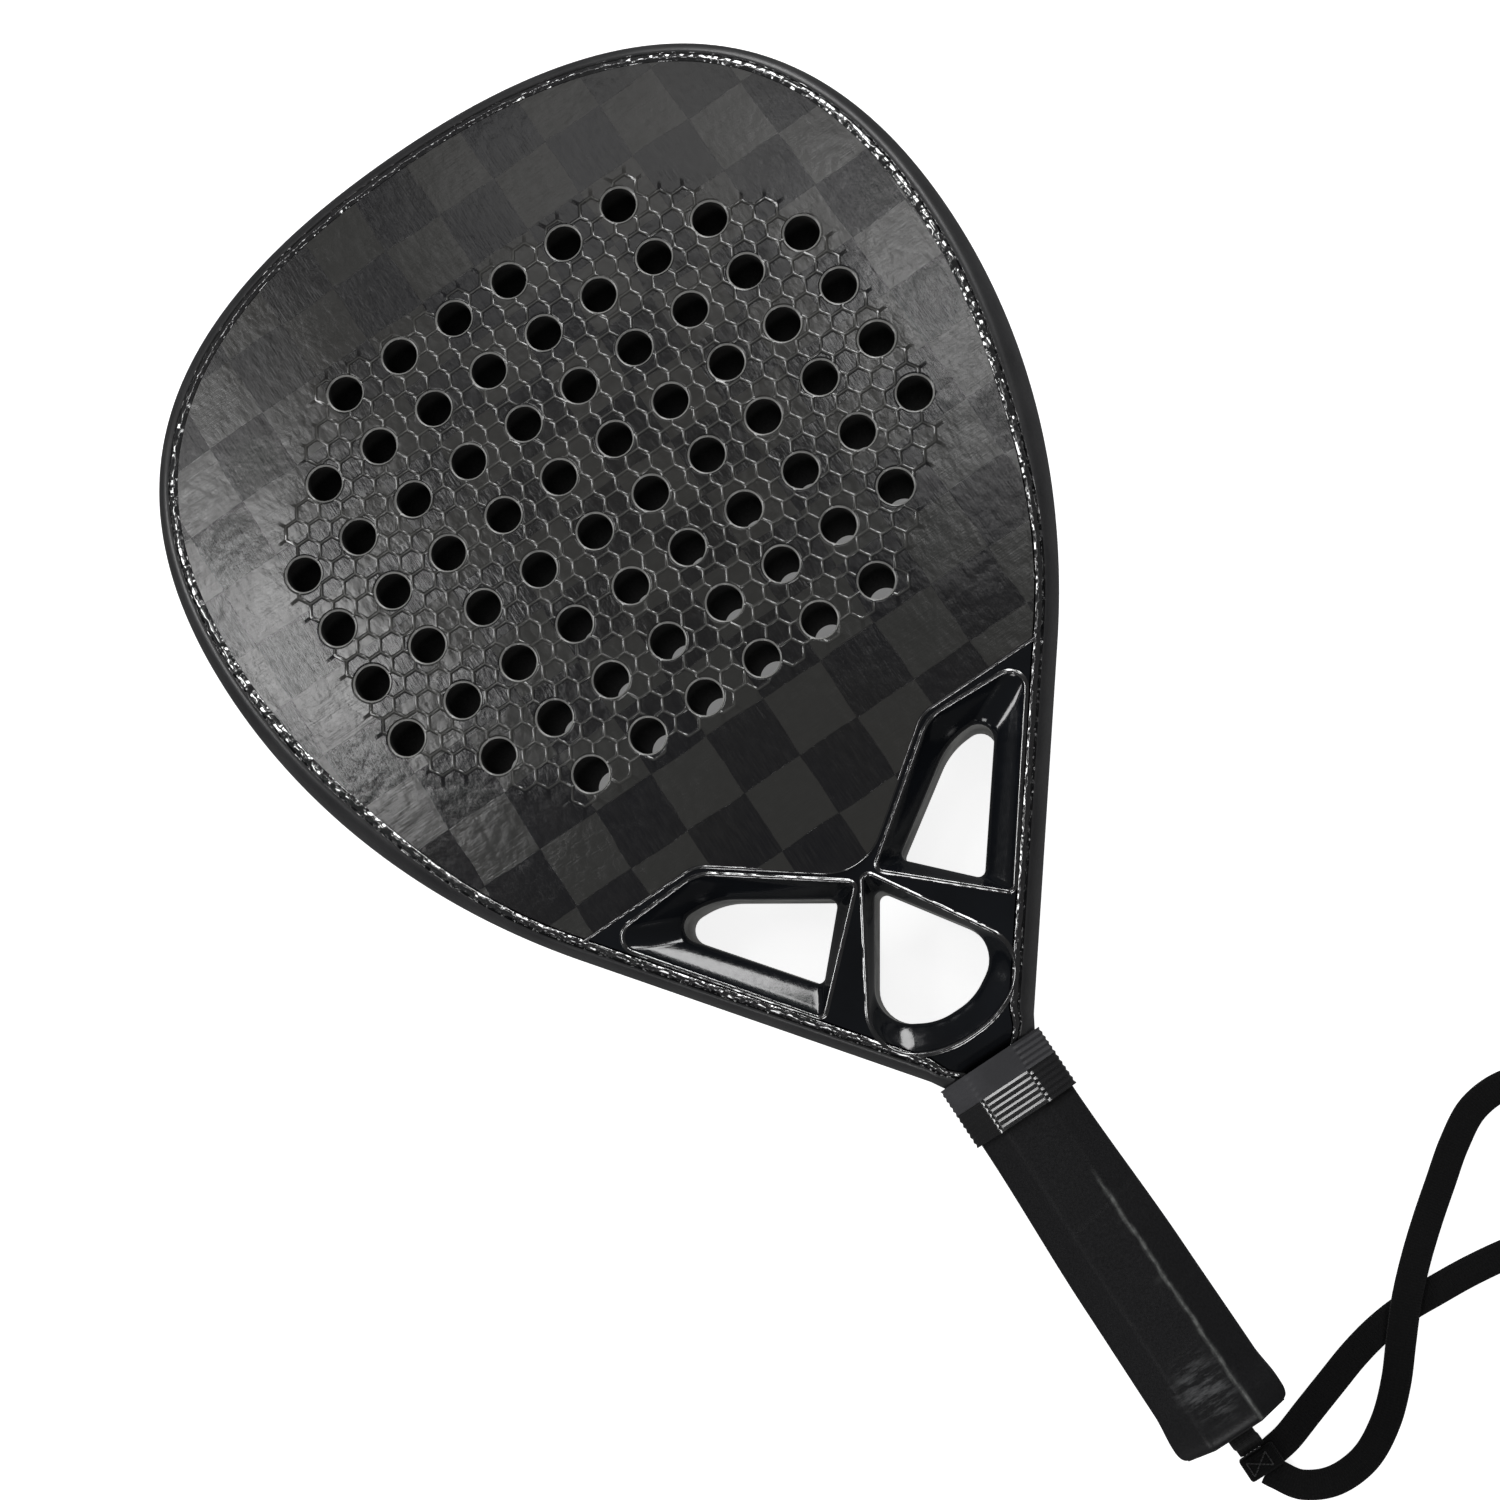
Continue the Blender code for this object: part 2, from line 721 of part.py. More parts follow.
def collar(name, top_y, end_y, ribs, inner_from, inner_to, parts):
    """A ribbed rubber band; inner_from and inner_to are its inner sections' insets."""
    rib = (top_y - end_y) / ribs
    outside = []
    for index in range(ribs):
        crest_y = top_y - rib * index
        outside.append(collar_section(crest_y, RIB_HEIGHT))
        outside.append(collar_section(crest_y - rib * RIB_FLANK, 0.0))
        outside.append(collar_section(crest_y - rib * (1.0 - RIB_FLANK), 0.0))
    outside.append(collar_section(end_y, RIB_HEIGHT))
    inside = [collar_section(end_y, inner_to), collar_section(top_y, inner_from)]
    return loft(name, outside + inside, parts, ring_closed=True)


def collar_section(y, inset):
    return octagon(
        y,
        COLLAR_HALF_X - inset,
        COLLAR_HALF_Z - inset,
        COLLAR_CORNER - inset * math.sqrt(2),
    )


def staple_holes(name, side, tools):
    """Cutters for one staple's crown and legs, with play all round."""
    reach = STAPLE_WIRE + PLAY
    z = HALF + side * STAPLE_Z
    crown_y = BUTT_Y + STAPLE_SUNK + STAPLE_WIRE
    cutters = [
        box(
            name + "_crown_recess",
            (-STAPLE_SPAN / 2 - reach, BUTT_Y - OVERRUN, z - reach),
            (STAPLE_SPAN / 2 + reach, crown_y + reach, z + reach),
            tools,
        )
    ]
    for leg_x in (-STAPLE_SPAN / 2, STAPLE_SPAN / 2):
        cutters.append(
            box(
                name + "_leg_hole",
                (leg_x - reach, crown_y, z - reach),
                (leg_x + reach, crown_y + STAPLE_LENGTH + reach, z + reach),
                tools,
            )
        )
    return [as_cutter(cutter) for cutter in cutters]


def staple(name, side, parts):
    """A wire staple through the cap into the front (1) or rear (-1) pallet."""
    curve = bpy.data.curves.new(name, "CURVE")
    curve.dimensions = "3D"
    curve.bevel_depth = STAPLE_WIRE
    curve.bevel_resolution = 1
    curve.use_fill_caps = True
    crown_y = BUTT_Y + STAPLE_SUNK + STAPLE_WIRE
    leg_y = crown_y + STAPLE_LENGTH
    bend = STAPLE_SPAN / 2
    route = (
        (-bend, leg_y), (-bend, crown_y + STAPLE_WIRE), (-bend + STAPLE_WIRE, crown_y),
        (bend - STAPLE_WIRE, crown_y), (bend, crown_y + STAPLE_WIRE), (bend, leg_y),
    )
    spline = curve.splines.new("POLY")
    spline.points.add(len(route) - 1)
    for point, (x, y) in zip(spline.points, route):
        point.co = (x, y, HALF + side * STAPLE_Z, 1.0)
    wire = bpy.data.objects.new(name, curve)
    parts.objects.link(wire)
    return wire


def butt_cap(parts, tools):
    rings = [octagon(y, CAP_HALF_X, CAP_HALF_Z, CAP_CORNER) for y in (BUTT_Y, CAP_INNER_Y)]
    cap = loft("butt_cap", rings, parts)
    for side in (-1, 1):
        centre_x = side * LUG_X
        lug = box(
            "right_lug" if side > 0 else "left_lug",
            (centre_x - LUG_THICKNESS / 2, CAP_INNER_Y - LUG_ROOT, HALF - LUG_HALF_Z),
            (centre_x + LUG_THICKNESS / 2, LUG_END_Y, HALF + LUG_HALF_Z),
            tools,
        )
        boolean(cap, as_cutter(lug), "UNION")
    pin_hole = rod_along_x(
        "pin_hole", PIN_RADIUS + PLAY, WIDTH, PIN_Y, HALF, PIN_SIDES, tools
    )
    boolean(cap, as_cutter(pin_hole))
    slot = box(
        "strap_slot",
        (-SLOT_HALF_X, BUTT_Y - OVERRUN, HALF - SLOT_HALF_Z),
        (SLOT_HALF_X, CAP_INNER_Y + OVERRUN, HALF + SLOT_HALF_Z),
        tools,
    )
    edges = slot.modifiers.new("round_ends", "BEVEL")
    edges.width = SLOT_END_RADIUS
    edges.segments = 3
    boolean(cap, as_cutter(slot))
    for side in (1, -1):
        for cutter in staple_holes("cap", side, tools):
            boolean(cap, cutter)
    return cap


def smooth_route(route, spacing):
    """Points at about an even spacing on a smooth curve through the route's points."""
    route = [Vector(place) for place in route]
    ends = [route[0] * 2 - route[1], *route, route[-1] * 2 - route[-2]]
    points = []
    for a, b, c, d in zip(ends, ends[1:], ends[2:], ends[3:]):
        steps = max(1, round((c - b).length / spacing))
        for step in range(steps):
            t = step / steps
            points.append(
                0.5 * (
                    2 * b + (c - a) * t + (2 * a - 5 * b + 4 * c - d) * t * t
                    + (3 * b - a - 3 * c + d) * t ** 3
                )
            )
    return [*points, route[-1]]


def strap_end_fold(parts):
    """The strap's inner end, folded round the pin; it stays still when the strap swings."""
    layer = LEAD_THICKNESS / 4
    radius = PIN_RADIUS + PLAY + 2 * layer
    route = [(FOLD_END_Y, HALF + layer + GAP), (PIN_Y - FOLD_PINCH, HALF + FOLD_PINCH_Z)]
    for step in range(FOLD_STEPS + 1):
        angle = FOLD_TURN * (0.5 - step / FOLD_STEPS)
        route.append((PIN_Y + radius * math.cos(angle), HALF + radius * math.sin(angle)))
    route += [(PIN_Y - FOLD_PINCH, HALF - FOLD_PINCH_Z), (FOLD_END_Y, HALF - layer - GAP)]
    places = [(y, z, 0.0) for y, z in route]
    return ribbon(
        "strap_end_fold", places, STRAP_WIDTH, 2 * layer, parts, upright=True
    )


def strap_lead(parts):
    places = [(y, z, 0.0) for y, z in LEAD_ROUTE]
    return ribbon("strap_lead", places, STRAP_WIDTH, LEAD_THICKNESS, parts, upright=True)


def strap_tab(parts):
    x, y = TAB_CENTRE
    wide, long, thick = TAB_SIZE
    tab = box(
        "strap_tab",
        (x - wide / 2, y - long / 2, TAB_BASE_Z),
        (x + wide / 2, y + long / 2, TAB_BASE_Z + thick),
        parts,
    )
    edges = tab.modifiers.new("soft_edges", "BEVEL")
    edges.width = TAB_EDGE
    edges.segments = 2
    return tab


def wrist_strap(parts):
    route = smooth_route(LOOP_ROUTE, POINT_SPACING)
    return ribbon("wrist_strap", route, STRAP_WIDTH, STRAP_THICKNESS, parts)


def build():
    clear_scene()
    parts = new_collection("padel_racket")
    tools = new_collection("cutters")
    made = {
        "frame_tube": frame_tube(parts),
        "throat_yoke": throat_yoke(parts, tools),
        "foam_core": drilled_plate(
            "foam_core", core_offset, -GAP,
            SKIN_DROP + SKIN + GAP, THICKNESS - SKIN_DROP - SKIN - GAP,
            HOLE_RADIUS + CORE_HOLE_EXTRA, CORE_HOLE_SIDES, parts,
        ),
        "front_face": drilled_plate(
            "front_face", skin_offset, 0.0,
            THICKNESS - SKIN_DROP - SKIN, THICKNESS - SKIN_DROP,
            HOLE_RADIUS, SKIN_HOLE_SIDES, parts,
        ),
        "rear_face": drilled_plate(
            "rear_face", skin_offset, 0.0, SKIN_DROP, SKIN_DROP + SKIN,
            HOLE_RADIUS, SKIN_HOLE_SIDES, parts,
        ),
        "front_pallet": pallet("front_pallet", 1, parts, tools),
        "rear_pallet": pallet("rear_pallet", -1, parts, tools),
        "base_grip": base_grip(parts),
        "collar_sleeve": collar(
            "collar_sleeve", COLLAR_TOP_Y, SLEEVE_END_Y, SLEEVE_RIBS,
            SLEEVE_BORE_TOP, SLEEVE_BORE_END, parts,
        ),
        "collar_ring": collar(
            "collar_ring", RING_TOP_Y, RING_END_Y, RING_RIBS, RING_BORE, RING_BORE, parts
        ),
        "butt_cap": butt_cap(parts, tools),
        "front_staple": staple("front_staple", 1, parts),
        "rear_staple": staple("rear_staple", -1, parts),
        "strap_pin": rod_along_x(
            "strap_pin", PIN_RADIUS, PIN_LENGTH, PIN_Y, HALF, PIN_SIDES, parts
        ),
        "strap_end_fold": strap_end_fold(parts),
        "strap_lead": strap_lead(parts),
        "strap_tab": strap_tab(parts),
        "wrist_strap": wrist_strap(parts),
    }
    swing = bpy.data.objects.new("strap_swing_axis", None)
    swing.location = (0.0, SWING_Y, HALF)
    parts.objects.link(swing)
    bpy.context.view_layer.update()
    for name, part in made.items():
        color, roughness, metallic = LOOKS[name]
        part.data.materials.clear()
        part.data.materials.append(new_material(name, color, roughness, metallic))
        if name in SWINGING:
            part.parent = swing
            part.matrix_parent_inverse = swing.matrix_world.inverted()


build()
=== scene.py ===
import math

import bmesh
import bpy
import numpy as np
from mathutils import Matrix, Vector, noise
from mathutils.geometry import delaunay_2d_cdt


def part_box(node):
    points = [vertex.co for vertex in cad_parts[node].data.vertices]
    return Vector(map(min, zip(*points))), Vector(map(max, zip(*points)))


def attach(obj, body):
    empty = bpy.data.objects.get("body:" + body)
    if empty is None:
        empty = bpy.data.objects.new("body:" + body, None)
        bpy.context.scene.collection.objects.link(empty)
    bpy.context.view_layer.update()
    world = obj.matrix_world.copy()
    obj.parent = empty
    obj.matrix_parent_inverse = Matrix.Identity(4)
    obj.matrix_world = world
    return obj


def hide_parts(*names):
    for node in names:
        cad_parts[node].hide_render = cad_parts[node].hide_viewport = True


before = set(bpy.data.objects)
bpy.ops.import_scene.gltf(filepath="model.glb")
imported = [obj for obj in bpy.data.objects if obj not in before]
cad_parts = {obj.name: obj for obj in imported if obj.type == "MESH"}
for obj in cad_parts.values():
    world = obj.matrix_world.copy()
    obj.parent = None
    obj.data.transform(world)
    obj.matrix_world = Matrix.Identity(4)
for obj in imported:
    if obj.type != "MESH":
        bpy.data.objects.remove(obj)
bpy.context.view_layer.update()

# ---------------- sizes, in metres
MM = 0.001
HALF_WIDTH, TIP_Y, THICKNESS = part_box("frame_tube")[1]
HALF = THICKNESS / 2
BUTT_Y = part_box("butt_cap")[0][1]
SKIN_LOW, SKIN_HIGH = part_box("front_face")
WELD = 1e-7  # points closer than this become one
CDT_WELD = 0.0005  # the same in the triangulation, which works in millimetres

# Outline of the head, one half: two cubic curves and a straight leg
WIDEST_Y = TIP_Y - 107.4 * MM
TIP_REACH = 74.4 * MM
SHOULDER_REACH = 81.4 * MM
CHEEK_REACH = 47.1 * MM
LEG_TOP = Vector((82.9, -15.8)) * MM
LEG_TOP_REACH = 48.6 * MM
LEG_FOOT = Vector((17.5, -100.0)) * MM
NECK = Vector((15.2, -103.8)) * MM
NECK_END = Vector((14.2, -108.5)) * MM
HEAD_STEPS = 150
CHEEK_STEPS = 70
LEG_STEPS = 70
FOOT_MARGIN = 0.3 * MM

# Rim: how far inside the outline its bead lies, and the section's shape
HEAD_BEAD = 9.7 * MM
LEG_BEAD = 6.0 * MM
NECK_BEAD = 7.5 * MM
NARROWS_FROM_Y = 60 * MM
NARROWS_TO_Y = -10 * MM
BAND_STEPS = 16
BAND_DROP = 1.0 * MM
BAND_FULLNESS = 1.12
BEAD_STEPS = 10
BEAD_REACH = 1.1 * MM
BEAD_SLOPE = 0.5
BEAD_SOFTNESS = 0.2
BEAD_IN = 0.25 * MM
GROOVE_OUT = 2.2 * MM
GROOVE_MID = 1.75 * MM
GROOVE_DEPTH = 1.5 * MM
LIP = 0.9 * MM
LIP_DEPTH = 1.5 * MM
BEAD_RIPPLE = 0.08 * MM
BEAD_SWAY = 0.12 * MM
RIPPLE_LENGTH = 2.6 * MM
RIPPLE_GAIN = 1.1
RISE_SEED, SWAY_SEED, WINDOW_SEED, LIP_SEED = 1.0, 2.0, 5.0, 9.0

# The throat thins towards the collar
THROAT_TOP_Y = -14.0 * MM
COLLAR_TOP_Y = -103.8 * MM
COLLAR_HALF = 15.5 * MM
NECK_HALF = 12.0 * MM
NECK_END_HALF = 11.2 * MM

# Heart line: the lower edge of the faces
HEART_V_Y = -42.4 * MM
HEART_SHOULDER = Vector((38.5, -13.8)) * MM
HEART_V_RADIUS = 16 * MM
HEART_SHOULDER_RADIUS = 10 * MM
HEART_ARC_STEPS = 24
HEART_RUN_STEPS = 20
HEART_LIP_RADIUS = 0.6 * MM
HEART_LIP_CREST = 0.15 * MM
HEART_LIP_SIDES = 14

# Windows: corners (x, y, radius) at the front plane and at the waist, in millimetres
SIDE_WINDOW_FRONT = (
    (3.8, -42.8, 1.5), (39.5, -16.3, 12.0), (70.8, -17.8, 4.0), (31.8, -68.8, 1.5),
)
SIDE_WINDOW_WAIST = (
    (10.3, -43.3, 2.2), (40.0, -23.6, 22.0), (57.3, -22.8, 4.5), (27.3, -61.3, 2.0),
)
LOW_WINDOW_FRONT = (
    (0.0, -41.8, 1.5), (-26.2, -85.0, 12.0), (-9.0, -95.2, 28.0), (9.0, -95.2, 28.0), (26.2, -85.0, 12.0),
)
LOW_WINDOW_WAIST = (
    (0.0, -46.3, 2.0), (-21.5, -78.5, 10.0), (-6.0, -87.5, 18.0), (6.0, -87.5, 18.0), (21.5, -78.5, 10.0),
)
WINDOW_ARC_STEPS = 10
WINDOW_RUN_STEPS = 44
YOKE_DROP = 0.5 * MM
RIDGE = (  # (outwards from the window's edge, drop below the crest), in millimetres
    (1.35, 0.50), (1.12, 0.40), (0.88, 0.12), (0.62, 0.0), (0.36, 0.02), (0.14, 0.18), (0.0, 0.45),
)
WALL = (  # (share of the way to the waist, share of the depth to mid-thickness)
    (0.05, 0.03), (0.30, 0.12), (0.60, 0.23), (0.86, 0.33), (0.96, 0.38), (1.0, 0.45),
)
RIDGE_RIPPLE = 0.10 * MM
THROAT_WELD = 2e-6

# Faces: skins, relief and holes
SKIN_INSET = LIP + 0.05 * MM
SKIN_TOP = SKIN_HIGH[2] - 0.33 * MM  # room for the relief
SKIN_BOTTOM = SKIN_LOW[2]
RELIEF = 0.28 * MM
HOLE_PITCH = 19.7 * MM
HOLE_RADIUS = 5.25 * MM
HOLE_ROWS = (6, 8, 10, 10, 10, 10, 8, 6)
HOLE_SLANT = 6 * HOLE_PITCH  # x + y of the outermost holes along the field's slants
HOLES_Y = 94.2 * MM
HOLE_SIDES = 40
HOLE_CUT_MARGIN = 0.01 * MM
CHAMFER_WITHIN = 0.9  # a face counts as chamfer within this share of it
HOLE_WALL_WITHIN = 1.1  # and as a hole's wall within this share of the radius
CHAMFER = 0.5 * MM
CHAMFER_DROP = 0.42 * MM
RELIEF_CLEAR = 1.1 * MM
CELL_PITCH = 6.9 * MM
CELL_COLUMN = CELL_PITCH * math.cos(math.pi / 6)
CELL_COLUMNS = range(-18, 19)
CELL_ROWS = range(-14, 15)
CREST_INSET = 0.10 * MM
FOOT_INSET = 0.48 * MM
CELL_HOLD = 0.2 * MM
CELL_MARGIN = 5.8 * MM
CORE_GAP = 0.3 * MM
CORE_INSET = LIP + 0.2 * MM
CORE_HOLE_RADIUS = HOLE_RADIUS + 0.05 * MM

# Handle: an eight-sided section is (half x, half z, x + z along its slants)
GRIP_SECTION = (16.5 * MM, 15.0 * MM, 22.5 * MM)
GRIP_STATIONS = (  # (y, scale of the section)
    (-0.1130, 0.92), (-0.1240, 0.92), (-0.1750, 0.99), (-0.2080, 1.00), (-0.2180, 1.05),
)
GRIP_TOP_Y, GRIP_TOP_SCALE = GRIP_STATIONS[0]
GRIP_END_Y = BUTT_Y + 0.3 * MM
GRIP_ROUNDING = 3.6 * MM
GRIP_END_INSET = 1.7 * MM
GRIP_FILLET = 3.2 * MM
GRIP_STEP = 0.8 * MM
GRIP_THICKNESS = 1.5 * MM
GRIP_LINING = (0.4 * MM, 0.6 * MM)  # the wrap's thickness at the butt and a little above it
GRIP_LINING_RISE = 6 * MM
GRIP_UNEVEN = 0.10 * MM
GRIP_UNEVEN_SCALE = 120.0
OCTAGON_STEPS = 5
CREASES = (  # (y on the middle line, half its length, depth in millimetres)
    (-0.1540, 0.0180, 0.16),
    (-0.1830, 0.0180, 0.16),
    (-0.1975, 0.0066, 0.22),
    (-0.2035, 0.0078, 0.34),
    (-0.2098, 0.0070, 0.22),
)
CREASE_SLOPE = 0.16
CREASE_SPREAD = 0.10  # square of the groove's half width, in square millimetres
CREASE_FADE = 2 * MM
STEP_HEIGHT = 0.10 * MM
STEP_LENGTH = 5.0  # millimetres
# worn line along the front slant's edge, lighter also as a painted highlight: where it starts, its fade,
# inset, width and wander
WEAR_HIGHLIGHT_FROM_Y = -0.1480
WEAR_HIGHLIGHT_FADE = 6 * MM
WEAR_HIGHLIGHT_INSET = 0.3 * MM
WEAR_HIGHLIGHT_WIDTH = (0.45 * MM, 0.25 * MM)  # middle value and change
WEAR_HIGHLIGHT_WANDER = 0.5 * MM
WANDER_SCALE, WIDTH_SCALE = 160.0, 420.0
WANDER_SEED, WIDTH_SEED = 3.0, 8.0
# scuffed patch near the butt, lighter also as a painted sheen: its middle, reach and how fully it shows
SCUFF_SHEEN_CENTRE = (-0.0005, -0.2075)
SCUFF_SHEEN_REACH = (0.0075, 0.0095)
SCUFF_SHEEN_FULL = 1.35

# Collar
COLLAR_SECTION = (16.6 * MM, 15.1 * MM, 23.2 * MM)
COLLAR_FILLET = 2.6 * MM
SLEEVE_Y = (-103.8 * MM, -111.95 * MM)
RING_Y = (-112.0 * MM, -122.3 * MM)
SLEEVE_RIBS = 5
RING_RIBS = 6
RIB_HEIGHT = 0.38 * MM
RIB_LONG_SIDE = 0.46
RIB_STEPS = 12
SMOOTH_INSET = 0.3 * RIB_HEIGHT
SLEEVE_BORE = 2.4 * MM
RING_BORE = 1.1 * MM
SLEEVE_SMOOTH_TO = 7.0 * MM
RING_SMOOTH_TO = -MM  # nowhere smooth

# Wrist strap
STRAP_WIDTH = 8.4 * MM
STRAP_THICKNESS = 1.6 * MM
LEAD_THICKNESS = 2.2 * MM
LEAD_WIDTH = 8.0 * MM
WEBBING_STEPS = 36
WEBBING_RIBS = 6
WEBBING_RIB_HEIGHT = 0.13  # share of the half thickness
WEBBING_RIB_LEVEL = 0.9
WEBBING_SQUARENESS = 7
WEBBING_SPACING = 1.1 * MM
LEAD_SPACING = 0.5 * MM
TAB_OVERLAP = 1.5 * MM
TAB_ROUNDING = 1.1 * MM
TAB_RIDGE_PITCH = 1.4 * MM
TAB_RIDGE_HEIGHT = 0.07 * MM
STITCH_PITCH = 1.15 * MM
STITCH_GAP = 0.12  # share of the pitch, at each end of a stitch
STITCH_RADIUS = 0.17 * MM
STITCH_LIFT = 0.16 * MM
STITCH_STEPS = 4
STITCH_INSET = (1.6 * MM, 1.3 * MM)
STITCH_SINK = 0.10 * MM
LEAD_ROUTE = (  # (y, z) down the middle of the doubled lead, in metres
    (-0.2200, 0.0190), (-0.2228, 0.0189), (-0.2252, 0.0181), (-0.2272, 0.0160), (-0.2283, 0.0128),
    (-0.2290, 0.0094), (-0.2299, 0.0060), (-0.2313, 0.0034), (-0.2328, 0.0027),
)
LYING_Z = 1.1  # height of the webbing's middle where it lies flat, in millimetres
LOOP_ROUTE = (  # (x, y, z) in millimetres from the tab's side to its end; z is LYING_Z where not given
    (3.0, -236.6, 2.6), (5.2, -236.2, 2.4), (10.5, -235.4, 1.9), (19.0, -232.8, 1.3), (29.0, -229.7),
    (38.5, -226.8), (48.0, -224.8), (57.5, -224.0), (67.0, -224.4), (77.0, -225.0), (87.0, -226.2),
    (97.0, -228.0), (107.5, -229.0), (118.0, -226.8), (126.8, -220.8), (132.0, -211.8), (131.8, -201.2),
    (125.8, -192.6), (116.0, -188.4), (105.0, -189.0), (95.0, -194.2), (85.5, -201.0),
    (76.5, -207.5, 1.5), (67.5, -214.4, 2.7), (59.0, -221.9, 3.4), (51.2, -230.4, 3.0),
    (43.6, -239.0, 1.8), (35.0, -246.4), (25.0, -251.4), (14.5, -252.0, 1.2), (6.2, -248.2, 1.8),
    (2.0, -242.2, 2.4), (0.6, -239.8, 2.6),
)

# Camera and light
CAMERA_PLACE = Vector((0.0202, -0.1085, 0.6505))
CAMERA_RIGHT = Vector((0.8281, -0.5434, -0.1380))
CAMERA_UP = Vector((0.5589, 0.8195, 0.1267))
LENS = 52.8
SENSOR = 36.0
CLIP_START = 0.01
FLOOR_SIZE = 8.0
FLOOR_DROP = 0.1 * MM
FLOOR_TONE = (0.70, 0.70, 0.70)
WHITE = (1.0, 1.0, 1.0, 1.0)
WORLD_GLOW = 0.09
BACKDROP_GLOW = 0.96
FLOOR_GLOW = 0.86
# painted shadow under the head: the floor's glow there, and the distances from the holes' middle over which
# it rises to FLOOR_GLOW
FLOOR_PAINTED_SHADOW_GLOW = 0.19
FLOOR_PAINTED_SHADOW_REACH = (0.098, 0.112)
CENTRE = (0.0, 0.02, 0.0)
LIGHTS = (  # (name, place, point it faces, size, watts)
    ("front_box", (-0.05, -1.25, 1.15), (0.0, -0.10, 0.0), (0.5, 0.4), 6.0),
    ("key_box", (0.82, 1.08, 0.62), CENTRE, (0.75, 0.35), 10.0),
    ("edge_box", (1.15, 0.62, 0.66), CENTRE, (0.35, 0.4), 5.5),
    ("side_box", (-0.95, 0.65, 0.70), CENTRE, (0.3, 0.6), 7.0),
    ("low_box", (-0.95, -0.85, 0.50), CENTRE, (0.4, 0.4), 3.5),
    ("left_sheen", (-0.37, 0.53, 1.30), (-0.10, 0.07, 0.04), (0.14, 0.26), 0.86),
    ("left_glow", (-0.36, 0.73, 1.30), (-0.10, 0.13, 0.04), (0.20, 0.56), 0.66),
    ("top_glow", (0.16, 0.78, 1.30), (0.03, 0.19, 0.04), (0.45, 0.22), 0.30),
    ("right_sheen", (0.31, 0.47, 1.30), (0.11, 0.08, 0.04), (0.10, 0.14), 0.25),
    ("right_glow", (0.28, 0.46, 1.30), (0.10, 0.07, 0.04), (0.14, 0.40), 0.34),
)

# Woven squares of the faces: their size, tones and crinkles
CHECK_X = 3.7 * MM
CHECK_Y = 15.4 * MM
CHECK_WIDE = 19.2 * MM
CHECK_LONG = 19.7 * MM
CHECK_DRIFT = 2.2 * MM
CHECK_LIGHT = (0.0265, 0.0265, 0.0252)
CHECK_WARM = (0.0277, 0.0269, 0.0252)
CHECK_DARK = (0.0066, 0.0066, 0.0080)
CHECK_DARK_WARM = (0.0098, 0.0094, 0.0092)
CHECK_FIBRE = (0.036, 0.0355, 0.0335)
CHECK_SEAM = (0.0075, 0.0075, 0.0080)
# painted highlight: the tone towards which the relief's crests are lightened
CHECK_RIDGE_HIGHLIGHT = (0.085, 0.085, 0.080)
DRIFT_SCALE, PATCH_SCALE, WARMTH_SCALE, CLOUD_SCALE = 60.0, 16.0, 7.0, 34.0
FIBRE_LONG, FIBRE_FINE = 120.0, 2600.0
CRINKLE_SCALE = (420.0, 260.0, 1.0)
FIBRE_SHARE, SEAM_SHARE, RIDGE_HIGHLIGHT_SHARE = 0.28, 0.55, 0.6
CRINKLE_DEPTH = 0.10 * MM
CLOUD_DEPTH = 0.38 * MM

# Mottled surfaces: two tones in patches and a fine grain, with scales per metre and depth in millimetres
SURFACES = {  # (dark, light, roughness from and to, patch scale, grain scale, grain depth, sockets)
    "thread": (
        (0.004, 0.004, 0.004), (0.010, 0.010, 0.011), (0.5, 0.7), 900.0, 3000.0, 0.02,
        {"sheen_weight": 0.2},
    ),
    "satin_carbon": (
        (0.014, 0.014, 0.015), (0.022, 0.022, 0.023), (0.34, 0.46), 55.0, 900.0, 0.03,
        {"coat_weight": 0.15, "coat_roughness": 0.30, "specular_ior_level": 0.35},
    ),
    "black_lacquer": (
        (0.0035, 0.004, 0.005), (0.006, 0.007, 0.009), (0.10, 0.16), 30.0, 500.0, 0.03,
        {"coat_weight": 0.2, "coat_roughness": 0.06, "specular_ior_level": 0.35},
    ),
    "trimmed_edge": (
        (0.15, 0.15, 0.147), (0.26, 0.26, 0.25), (0.38, 0.55), 120.0, 1200.0, 0.05, {},
    ),
    # the holes' chamfers: their light grey tones are a painted highlight
    "chamfer_painted_highlight": (
        (0.15, 0.15, 0.145), (0.23, 0.23, 0.22), (0.25, 0.40), 150.0, 1200.0, 0.04, {},
    ),
    "black_foam": (
        (0.0035, 0.0035, 0.0032), (0.0075, 0.0072, 0.0065), (0.6, 0.8), 90.0, 1500.0, 0.12, {},
    ),
    "matte_rubber": (
        (0.027, 0.027, 0.030), (0.038, 0.038, 0.042), (0.55, 0.70), 80.0, 1600.0, 0.05,
        {"specular_ior_level": 0.35},
    ),
    "glossy_rubber": (
        (0.003, 0.003, 0.0035), (0.006, 0.006, 0.007), (0.18, 0.22), 80.0, 900.0, 0.002,
        {"coat_weight": 0.7, "coat_roughness": 0.16, "coat_ior": 1.6, "specular_ior_level": 0.6},
    ),
    "cap_plastic": (
        (0.007, 0.007, 0.007), (0.013, 0.013, 0.013), (0.42, 0.6), 140.0, 1400.0, 0.06, {},
    ),
    "drawn_steel": (
        (0.42, 0.42, 0.43), (0.60, 0.60, 0.61), (0.22, 0.38), 300.0, 2200.0, 0.01,
        {"metallic": 1.0},
    ),
    "rigid_foam": (
        (0.28, 0.26, 0.20), (0.40, 0.38, 0.30), (0.8, 0.95), 200.0, 1500.0, 0.15, {},
    ),
    "folded_webbing": (
        (0.003, 0.003, 0.003), (0.008, 0.008, 0.008), (0.8, 0.95), 600.0, 2400.0, 0.12, {},
    ),
}
